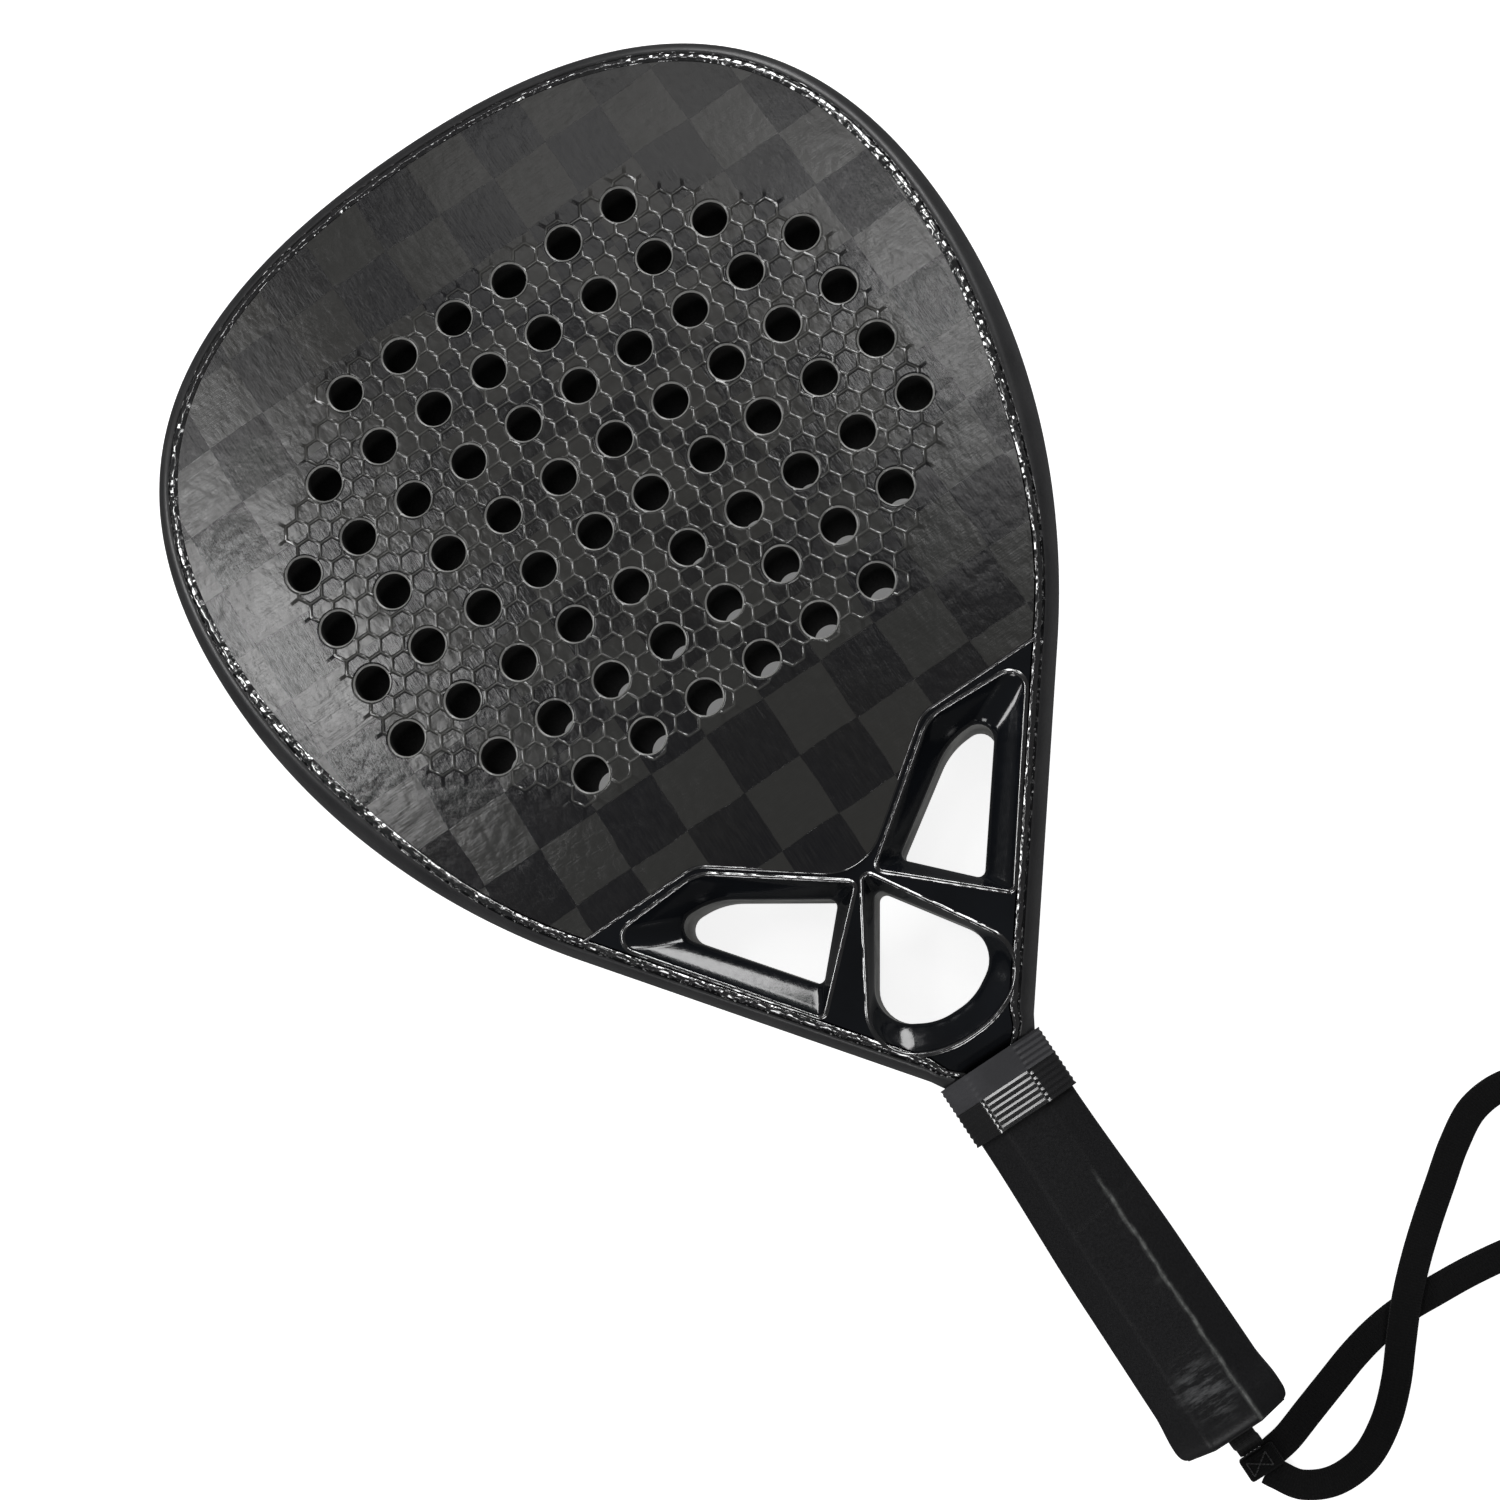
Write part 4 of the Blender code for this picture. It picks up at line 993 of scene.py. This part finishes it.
def hole_distance(places):
    """Each place's distance from the nearest hole's centre."""
    centres = np.array([tuple(c) for c in hole_centres()])
    distance = np.full(len(places), 1.0)
    for centre in centres:
        distance = np.minimum(distance, np.hypot(*(places - centre).T))
    return distance


def regular(centre, radius, sides):
    """The corners of a regular polygon, the first of them to the right."""
    angles = [math.tau * i / sides for i in range(sides)]
    return [centre + radius * Vector((math.cos(angle), math.sin(angle))) for angle in angles]


def cell_is_raised(x, y):
    """Whether the honeycomb has a cell centred here: within an octagon round the holes."""
    reach_x = (max(HOLE_ROWS) - 1) / 2 * HOLE_PITCH + CELL_MARGIN
    reach_y = (len(HOLE_ROWS) - 1) / 2 * HOLE_PITCH + CELL_MARGIN
    slant = HOLE_SLANT + CELL_MARGIN * math.sqrt(2)
    y = y - HOLES_Y
    return (abs(x) <= reach_x) & (abs(y) <= reach_y) & (abs(x) + abs(y) <= slant)


def nearest_cell(places):
    """The centre of the honeycomb cell that each place lies in."""
    best = np.full(len(places), 1.0)
    centre = np.zeros_like(places)
    base = np.floor(places[:, 0] / CELL_COLUMN)
    for step in (0, 1):
        number = base + step
        x = number * CELL_COLUMN
        shift = np.where(number % 2 == 0, 0.0, CELL_PITCH / 2) + HOLES_Y
        y = np.round((places[:, 1] - shift) / CELL_PITCH) * CELL_PITCH + shift
        distance = np.hypot(places[:, 0] - x, places[:, 1] - y)
        closer = distance < best
        best = np.where(closer, distance, best)
        centre[closer] = np.stack([x, y], 1)[closer]
    return centre


def relief_height(places):
    """The honeycomb's height above the skin, and the chamfer's depth round the holes."""
    centre = nearest_cell(places)
    local = places - centre
    reach = np.zeros(len(places))
    across = np.zeros_like(places)
    for degrees in (30, 90, 150, 210, 270, 330):
        normal = np.array([math.cos(math.radians(degrees)), math.sin(math.radians(degrees))])
        along = local @ normal
        further = along > reach
        reach = np.where(further, along, reach)
        across[further] = normal
    other = centre + across * CELL_PITCH
    raised = cell_is_raised(centre[:, 0], centre[:, 1]) | cell_is_raised(other[:, 0], other[:, 1])
    from_edge = CELL_PITCH / 2 - reach
    share = np.clip((FOOT_INSET - from_edge) / (FOOT_INSET - CREST_INSET), 0.0, 1.0)
    ridge = np.where(raised, share * share * (3.0 - 2.0 * share), 0.0)
    distance = hole_distance(places)
    ridge *= np.clip((distance - HOLE_RADIUS - CHAMFER) / (RELIEF_CLEAR - CHAMFER), 0.0, 1.0)
    chamfer = np.clip((HOLE_RADIUS + CHAMFER - distance) / CHAMFER, 0.0, 1.0)
    return RELIEF * ridge - CHAMFER_DROP * chamfer


def cell_loops():
    """Crest and foot lines of every raised cell, and foot lines of the cells round them."""
    insets = (CREST_INSET, (CREST_INSET + FOOT_INSET) / 2, FOOT_INSET, FOOT_INSET + CELL_HOLD)
    loops = []
    for number in CELL_COLUMNS:
        for row in CELL_ROWS:
            x = number * CELL_COLUMN
            y = HOLES_Y + row * CELL_PITCH + (CELL_PITCH / 2 if number % 2 else 0.0)
            near = [
                cell_is_raised(x + CELL_PITCH * math.cos(a), y + CELL_PITCH * math.sin(a))
                for a in (math.radians(30 + 60 * i) for i in range(6))
            ]
            if not cell_is_raised(x, y) and not any(near):
                continue
            for inset in insets if cell_is_raised(x, y) else insets[2:]:
                radius = (CELL_PITCH / 2 - inset) / math.cos(math.pi / 6)
                loops.append(regular(Vector((x, y)), radius, 6))
    return loops


def face_outline(inset):
    right = cut_below(inset_half(inset), HEART_SHOULDER.y)
    return right[::-1] + mirrored(right[1:]) + heart_line()


def drilled_sheet(name, inset, low, high, radius, materials, with_relief):
    """A drilled plate that may carry the relief; materials are for it, its chamfers and its holes."""
    outline = face_outline(inset)
    radii = (radius, HOLE_RADIUS + CHAMFER, HOLE_RADIUS + RELIEF_CLEAR) if with_relief else (radius,)
    loops = [outline] + [regular(centre, r, HOLE_SIDES) for centre in hole_centres() for r in radii]
    if with_relief:
        loops += cell_loops()
    cut = radius * math.cos(math.pi / HOLE_SIDES) - HOLE_CUT_MARGIN
    places, faces = triangulated(loops, outline, lambda spots: hole_distance(spots) < cut)
    height = relief_height(places) if with_relief else np.zeros(len(places))
    mesh = bpy.data.meshes.new(name)
    mesh.from_pydata([(x, y, high + h) for (x, y), h in zip(places, height)], [], faces.tolist())
    form = bmesh.new()
    form.from_mesh(mesh)
    bmesh.ops.delete(form, geom=[v for v in form.verts if not v.link_faces], context="VERTS")

    def near_hole(face, reach):
        middle = face.calc_center_median()
        return hole_distance(np.array([tuple(middle[:2])]))[0] < reach

    if with_relief:
        for face in form.faces:
            face.material_index = int(near_hole(face, HOLE_RADIUS + CHAMFER * CHAMFER_WITHIN))
        # the relief's height share, which the face material turns into a painted highlight
        crest = form.verts.layers.float.new("crest")
        for vertex in form.verts:
            vertex[crest] = min(max((vertex.co.z - high) / RELIEF, 0.0), 1.0)
    edges = [edge for edge in form.edges if edge.is_boundary]
    wall = bmesh.ops.extrude_edge_only(form, edges=edges)["geom"]
    for part in wall:
        if isinstance(part, bmesh.types.BMVert):
            part.co.z = low
        if isinstance(part, bmesh.types.BMFace):
            part.material_index = 2 if near_hole(part, radius * HOLE_WALL_WITHIN) else 0
    foot = [part for part in wall if isinstance(part, bmesh.types.BMEdge)]
    bmesh.ops.triangle_fill(form, edges=foot, use_beauty=False, use_dissolve=False)
    bmesh.ops.recalc_face_normals(form, faces=form.faces)
    form.to_mesh(mesh)
    form.free()
    smooth_by_angle(mesh, 42)
    return add_mesh(name, mesh, *materials)


def turned_over(piece, name):
    """A copy of a front piece as the rear one, mirrored in the middle plane."""
    mesh = piece.data.copy()
    mesh.name = name
    mesh.transform(Matrix.Translation((0, 0, THICKNESS)) @ Matrix.Diagonal((1, 1, -1, 1)))
    mesh.flip_normals()
    copy = bpy.data.objects.new(name, mesh)
    bpy.context.scene.collection.objects.link(copy)
    return copy


# ---------------- handle and collar
def octagon_ring(y, section, inset, fillet, scale=1.0):
    """An eight-sided section across y, scaled and then inset, with rounded corners."""
    half_x, half_z, corner = (reach * scale for reach in section)
    half_x, half_z, corner = half_x - inset, half_z - inset, corner - inset * math.sqrt(2)
    quarter = [(half_x, corner - half_x), (corner - half_z, half_z)]
    upper = quarter + [(-x, z) for x, z in reversed(quarter)]
    corners = [(x, z, fillet) for x, z in upper + [(-x, -z) for x, z in upper]]
    return [(p.x, y, HALF + p.y) for p in rounded(corners, OCTAGON_STEPS, OCTAGON_STEPS)]


def grip_scale(y):
    if y >= GRIP_TOP_Y:
        return GRIP_TOP_SCALE
    for (y0, scale0), (y1, scale1) in zip(GRIP_STATIONS, GRIP_STATIONS[1:]):
        if y >= y1:
            return scale0 + (scale1 - scale0) * ease((y0 - y) / (y0 - y1))
    return GRIP_STATIONS[-1][1]


def grip_crease(x, y):
    """How deep the wrap's overlaps lie here: a groove with a low step on one side of it."""
    depth = 0.0
    for crease_y, reach, deep in CREASES:
        gap = (y - (crease_y + CREASE_SLOPE * x)) / MM
        fade = ease((reach - abs(x)) / CREASE_FADE)
        depth += deep * MM * fade * math.exp(-gap * gap / CREASE_SPREAD)
        if 0.0 < gap < STEP_LENGTH:
            depth += STEP_HEIGHT * fade * (1.0 - gap / STEP_LENGTH)
    return depth


def grip_rows():
    """Where the wrap has rings of points along y, closer where its end is rounded."""
    rows = []
    y = GRIP_TOP_Y
    while y > GRIP_END_Y:
        rows.append(y)
        y -= GRIP_STEP if y > GRIP_END_Y + GRIP_ROUNDING + GRIP_STEP else GRIP_STEP / 3
    return rows + [GRIP_END_Y]


def grip_worn_highlight(x, y):
    """How far the front slant's edge is worn and lightened by a painted highlight here, from 0 to 1."""
    edge_x = (GRIP_SECTION[2] - GRIP_SECTION[1]) * grip_scale(y) - WEAR_HIGHLIGHT_INSET
    wander = noise.noise(Vector((0.0, y * WANDER_SCALE, WANDER_SEED))) * WEAR_HIGHLIGHT_WANDER
    width = WEAR_HIGHLIGHT_WIDTH[0] + WEAR_HIGHLIGHT_WIDTH[1] * noise.noise(Vector((0.0, y * WIDTH_SCALE, WIDTH_SEED)))
    wear_and_highlight = math.exp(-((x - edge_x + wander) / width) ** 2)
    return wear_and_highlight * ease((WEAR_HIGHLIGHT_FROM_Y + WEAR_HIGHLIGHT_FADE - y) / (2 * WEAR_HIGHLIGHT_FADE))


def grip_sheen_scuff(x, y):
    """How far the patch near the butt is scuffed and lightened by a painted sheen here, from 0 to 1."""
    far = math.hypot((x - SCUFF_SHEEN_CENTRE[0]) / SCUFF_SHEEN_REACH[0], (y - SCUFF_SHEEN_CENTRE[1]) / SCUFF_SHEEN_REACH[1])
    return ease(SCUFF_SHEEN_FULL - far)


def grip_wrap(material):
    rings = []
    for y in grip_rows():
        rounding = min(max((GRIP_END_Y + GRIP_ROUNDING - y) / GRIP_ROUNDING, 0.0), 1.0)
        inset = GRIP_END_INSET * (1.0 - math.sqrt(max(0.0, 1.0 - rounding * rounding)))
        ring = []
        for x, _, z in octagon_ring(y, GRIP_SECTION, inset, GRIP_FILLET, grip_scale(y)):
            if z > HALF:
                uneven = noise.noise(Vector((x, y, z)) * GRIP_UNEVEN_SCALE) * GRIP_UNEVEN
                z = z - grip_crease(x, y) + uneven
            ring.append((x, y, z))
        rings.append(ring)
    for y, thick in (
        (GRIP_END_Y, GRIP_END_INSET + GRIP_LINING[0]),
        (GRIP_END_Y + GRIP_LINING_RISE, GRIP_END_INSET + GRIP_LINING[1]),
        (GRIP_TOP_Y, GRIP_THICKNESS),
    ):
        scale = GRIP_TOP_SCALE if y == GRIP_TOP_Y else grip_scale(GRIP_END_Y)
        rings.append(octagon_ring(y, GRIP_SECTION, thick, GRIP_FILLET - thick / 2, scale))
    piece = sweep("grip_wrap", rings, (material,), joined=True, sharp=55)
    # masks of the worn edge with its painted highlight and of the scuffed patch with its painted sheen
    for name, mask in (("wear_and_highlight", grip_worn_highlight), ("scuff_and_sheen", grip_sheen_scuff)):
        layer = piece.data.attributes.new(name, "FLOAT", "POINT")
        spots = [vertex.co for vertex in piece.data.vertices]
        layer.data.foreach_set("value", [mask(p.x, p.y) if p.z > HALF else 0.0 for p in spots])
    return piece


def collar(name, ends, ribs, bore, material, smooth_to):
    """A ribbed rubber band round the neck, smooth within smooth_to of the middle line."""
    rings = []
    steps = ribs * RIB_STEPS
    for step in range(steps + 1):
        phase = ribs * step / steps % 1.0
        wave = max(1.0 - phase / RIB_LONG_SIDE, (phase - RIB_LONG_SIDE) / (1.0 - RIB_LONG_SIDE))
        y = ends[0] + (ends[1] - ends[0]) * step / steps
        smooth, ribbed = (
            octagon_ring(y, COLLAR_SECTION, inset, COLLAR_FILLET)
            for inset in (SMOOTH_INSET, RIB_HEIGHT * (1.0 - wave))
        )
        rings.append([
            tuple(Vector(a).lerp(Vector(b), ease((abs(a[0]) - smooth_to) / MM)))
            for a, b in zip(smooth, ribbed)
        ])
    rings += [octagon_ring(y, COLLAR_SECTION, bore, COLLAR_FILLET) for y in reversed(ends)]
    return sweep(name, rings, (material,), joined=True, sharp=60)


# ---------------- strap
def loop_point(x, y, z=LYING_Z):
    """A point of the loop's route, in metres."""
    return x * MM, y * MM, z * MM


def webbing_section(width, thickness):
    """The webbing's section as (across, height) points, with ribs on both sides."""
    section = []
    for side in (1, -1):
        for step in range(WEBBING_STEPS):
            share = side * (1.0 - 2.0 * (step + 0.5) / WEBBING_STEPS)
            body = (1.0 - abs(share) ** WEBBING_SQUARENESS) ** 0.5
            wave = abs(math.cos(math.pi * WEBBING_RIBS * (share + 1.0) / 2)) - WEBBING_RIB_LEVEL
            rib = 1.0 + WEBBING_RIB_HEIGHT * wave
            section.append((share * width / 2, side * thickness / 2 * body * rib))
    return section


def webbing(name, path, width, thickness, material, across=None):
    """A flat strap along a path, lying flat, or with its width along across."""
    section = webbing_section(width, thickness)
    rings, run = [], [0.0]
    for index, point in enumerate(path):
        along = direction(path, index)
        side = across or along.cross(Vector((0.0, 0.0, 1.0))).normalized()
        up = side.cross(along).normalized()
        rings.append([point + side * a + up * h for a, h in section])
        if index:
            run.append(run[-1] + (point - path[index - 1]).length)
    mesh = bpy.data.meshes.new(name)
    count = len(section)
    points = [p for ring in rings for p in ring]
    faces = loft_faces(0, len(rings), count)
    ends = [tuple(range(count)), tuple(range(len(points) - count, len(points)))]
    mesh.from_pydata(points, [], faces + ends)
    layer = mesh.uv_layers.new(name="along")
    share = [a / width + 0.5 for a, _ in section]
    for loop in mesh.loops:
        row, column = divmod(loop.vertex_index, count)
        layer.data[loop.index].uv = (share[column], run[row])
    tidy_mesh(mesh, None)
    smooth_by_angle(mesh, 60)
    return add_mesh(name, mesh, material)


def sewn_tab(material):
    """The wrapped and stitched joint of the strap, a rounded block as its CAD solid."""
    low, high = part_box("strap_tab")
    high = (high[0] + TAB_OVERLAP, *high[1:])
    size = [b - a for a, b in zip(low, high)]
    middle = [(a + b) / 2 for a, b in zip(low, high)]
    form = bmesh.new()
    bmesh.ops.create_cube(form, size=1.0)
    bmesh.ops.scale(form, vec=size, verts=form.verts)
    bmesh.ops.bevel(form, geom=form.edges[:], offset=TAB_ROUNDING, segments=4, affect="EDGES", profile=0.6)
    bmesh.ops.translate(form, vec=middle, verts=form.verts)
    bmesh.ops.subdivide_edges(form, edges=form.edges[:], cuts=3, use_grid_fill=True)
    for vertex in form.verts:
        ridge = math.cos(math.tau * (vertex.co.x - low[0]) / TAB_RIDGE_PITCH)
        if vertex.co.z > middle[2]:
            vertex.co.z += TAB_RIDGE_HEIGHT * (ridge - 1.0)
    mesh = bpy.data.meshes.new("sewn_tab")
    layer = form.loops.layers.uv.new("along")
    for face in form.faces:
        for loop in face.loops:
            loop[layer].uv = ((loop.vert.co.x - low[0]) / size[0], loop.vert.co.y)
    form.to_mesh(mesh)
    form.free()
    smooth_by_angle(mesh, 60)
    return add_mesh("sewn_tab", mesh, material)


def stitches(material):
    """Thread stitches on the tab: two rows along its sides and a cross between them."""
    low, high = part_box("strap_tab")
    top = high[2] - STITCH_SINK
    left, right = low[0] + STITCH_INSET[0], high[0] - STITCH_INSET[0]
    front, back = low[1] + STITCH_INSET[1], high[1] - STITCH_INSET[1]
    lines = (
        ((left, front), (left, back)), ((right, front), (right, back)),
        ((left, front), (right, back)), ((right, front), (left, back)),
    )
    curve = bpy.data.curves.new("tab_stitches", "CURVE")
    curve.dimensions = "3D"
    curve.bevel_depth = STITCH_RADIUS
    curve.bevel_resolution = 3
    curve.use_fill_caps = True
    for start, end in lines:
        start, end = Vector((*start, top)), Vector((*end, top))
        number = max(2, round((end - start).length / STITCH_PITCH))
        for index in range(number):
            a = start.lerp(end, (index + STITCH_GAP) / number)
            b = start.lerp(end, (index + 1.0 - STITCH_GAP) / number)
            spline = curve.splines.new("POLY")
            spline.points.add(STITCH_STEPS)
            for step, point in enumerate(spline.points):
                share = step / STITCH_STEPS
                lift = Vector((0.0, 0.0, STITCH_LIFT * math.sin(math.pi * share)))
                point.co = (*(a.lerp(b, share) + lift), 1.0)
    piece = bpy.data.objects.new("tab_stitches", curve)
    curve.materials.append(material)
    bpy.context.scene.collection.objects.link(piece)
    return piece


# ---------------- stage
def add_camera():
    data = bpy.data.cameras.new("camera")
    data.lens = LENS
    data.sensor_width = SENSOR
    data.clip_start = CLIP_START
    camera = bpy.data.objects.new("camera", data)
    back = CAMERA_RIGHT.cross(CAMERA_UP).normalized()
    up = back.cross(CAMERA_RIGHT).normalized()
    axes = Matrix((CAMERA_RIGHT.normalized(), up, back)).transposed().to_4x4()
    camera.matrix_world = Matrix.Translation(CAMERA_PLACE) @ axes
    bpy.context.scene.collection.objects.link(camera)
    bpy.context.scene.camera = camera


def add_light(name, at, toward, size, power):
    """A soft box whose second side lies as near to the racket's length as it can."""
    data = bpy.data.lights.new(name, "AREA")
    data.shape = "RECTANGLE"
    data.size, data.size_y = size
    data.energy = power
    light = bpy.data.objects.new(name, data)
    back = (Vector(at) - Vector(toward)).normalized()
    along = (Vector((0.0, 1.0, 0.0)) - back * back.y).normalized()
    axes = Matrix((along.cross(back), along, back)).transposed().to_4x4()
    light.matrix_world = Matrix.Translation(at) @ axes
    bpy.context.scene.collection.objects.link(light)


def add_world():
    """Dim and even; the camera itself sees a pale backdrop."""
    world = bpy.data.worlds.new("studio")
    bpy.context.scene.world = world
    world.use_nodes = True
    nodes, links = world.node_tree.nodes, world.node_tree.links
    seen = nodes.new("ShaderNodeLightPath")
    choice = nodes.new("ShaderNodeMix")
    links.new(seen.outputs["Is Camera Ray"], choice.inputs[0])
    choice.inputs[2].default_value = WORLD_GLOW
    choice.inputs[3].default_value = BACKDROP_GLOW
    links.new(choice.outputs[0], nodes["Background"].inputs["Strength"])
    nodes["Background"].inputs["Color"].default_value = WHITE


def add_floor():
    """A pale floor that glows evenly, with a painted shadow where the head's face lies on it."""
    material = new_material("pale_floor", FLOOR_TONE, 0.8, specular_ior_level=0.2)
    shader = shader_of(material)
    shader.inputs["Emission Color"].default_value = WHITE
    away = add_node(material, "VectorMath", operation="DISTANCE")
    feed(material, place(material), away.inputs[0])
    away.inputs[1].default_value = (0.0, HOLES_Y, 0.0)
    # painted shadow: the glow is lower under the head
    glow = ramp(material, away.outputs["Value"], *FLOOR_PAINTED_SHADOW_REACH, FLOOR_PAINTED_SHADOW_GLOW, FLOOR_GLOW)
    feed(material, glow, shader.inputs["Emission Strength"])
    bpy.ops.mesh.primitive_plane_add(size=FLOOR_SIZE, location=(0.0, 0.0, -FLOOR_DROP))
    floor = bpy.context.object
    floor.name = "floor"
    floor.visible_glossy = False
    floor.data.materials.append(material)


def add_studio():
    add_world()
    add_floor()
    for light in LIGHTS:
        add_light(*light)
    bpy.context.scene.view_settings.view_transform = "Standard"


# ---------------- build
def settle(piece, body, slot, *nodes):
    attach(piece, body)
    if nodes:
        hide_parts(*nodes)


def build_strap():
    cloth = webbing_material()
    thread = mottled("thread")
    path = smooth_route([loop_point(*point) for point in LOOP_ROUTE], WEBBING_SPACING)
    loop = webbing("wrist_loop", path, STRAP_WIDTH, STRAP_THICKNESS, cloth)
    lead_path = smooth_route([(0.0, y, z) for y, z in LEAD_ROUTE], LEAD_SPACING)
    lead = webbing("strap_stem", lead_path, LEAD_WIDTH, LEAD_THICKNESS, cloth, Vector((1.0, 0.0, 0.0)))
    tab = sewn_tab(cloth)
    seams = stitches(thread)
    settle(loop, "strap", "webbing", "wrist_strap")
    settle(lead, "strap", "webbing", "strap_lead")
    settle(tab, "strap", "webbing", "strap_tab")
    settle(seams, "strap", "webbing")


def build_racket():
    band, gloss = mottled("satin_carbon"), mottled("black_lacquer")
    bead = rippled_lacquer("bead_lacquer", BEAD_WAVES)
    ridge = rippled_lacquer("ridge_lacquer", RIDGE_WAVES)
    raw_edge, hole_lip_highlight, foam = (mottled(name) for name in ("trimmed_edge", "chamfer_painted_highlight", "black_foam"))
    face = checked_carbon()
    matte, shiny = mottled("matte_rubber"), mottled("glossy_rubber")
    wrap = wrap_material()

    settle(rim((band, bead)), "racket", "rim_carbon", "frame_tube")
    settle(throat((gloss, raw_edge, ridge)), "racket", "throat_gloss", "throat_yoke")
    settle(heart_lip("front_lip", 1, (ridge,)), "racket", "throat_gloss")
    settle(heart_lip("rear_lip", -1, (ridge,)), "racket", "throat_gloss")
    # the front skin's chamfers round the holes carry a painted highlight
    front = drilled_sheet(
        "front_skin", SKIN_INSET, SKIN_BOTTOM, SKIN_TOP, HOLE_RADIUS, (face, hole_lip_highlight, foam), True,
    )
    settle(front, "racket", "face_carbon", "front_face")
    settle(turned_over(front, "rear_skin"), "racket", "face_carbon", "rear_face")
    core = drilled_sheet(
        "drilled_core", CORE_INSET, THICKNESS - SKIN_BOTTOM + CORE_GAP, SKIN_BOTTOM - CORE_GAP,
        CORE_HOLE_RADIUS, (foam, foam, foam), False,
    )
    settle(core, "racket", "core_foam", "foam_core")
    settle(grip_wrap(wrap), "racket", "grip_wrap", "base_grip")
    sleeve = collar("ribbed_sleeve", SLEEVE_Y, SLEEVE_RIBS, SLEEVE_BORE, matte, SLEEVE_SMOOTH_TO)
    settle(sleeve, "racket", "collar_matte", "collar_sleeve")
    ring = collar("ribbed_ring", RING_Y, RING_RIBS, RING_BORE, shiny, RING_SMOOTH_TO)
    settle(ring, "racket", "collar_gloss", "collar_ring")


def dress_cad_nodes():
    """Materials for the CAD nodes that stay, and softened edges for the butt cap."""
    for name, nodes in CAD_LOOKS.items():
        material = mottled(name)
        for node in nodes:
            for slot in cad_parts[node].material_slots:
                slot.material = material
    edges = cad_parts["butt_cap"].modifiers.new("soft_edges", "BEVEL")
    edges.width = CAP_ROUNDING
    edges.segments = 4
    edges.limit_method = "ANGLE"
    edges.angle_limit = math.radians(40)


add_camera()
build_strap()
build_racket()
dress_cad_nodes()
add_studio()
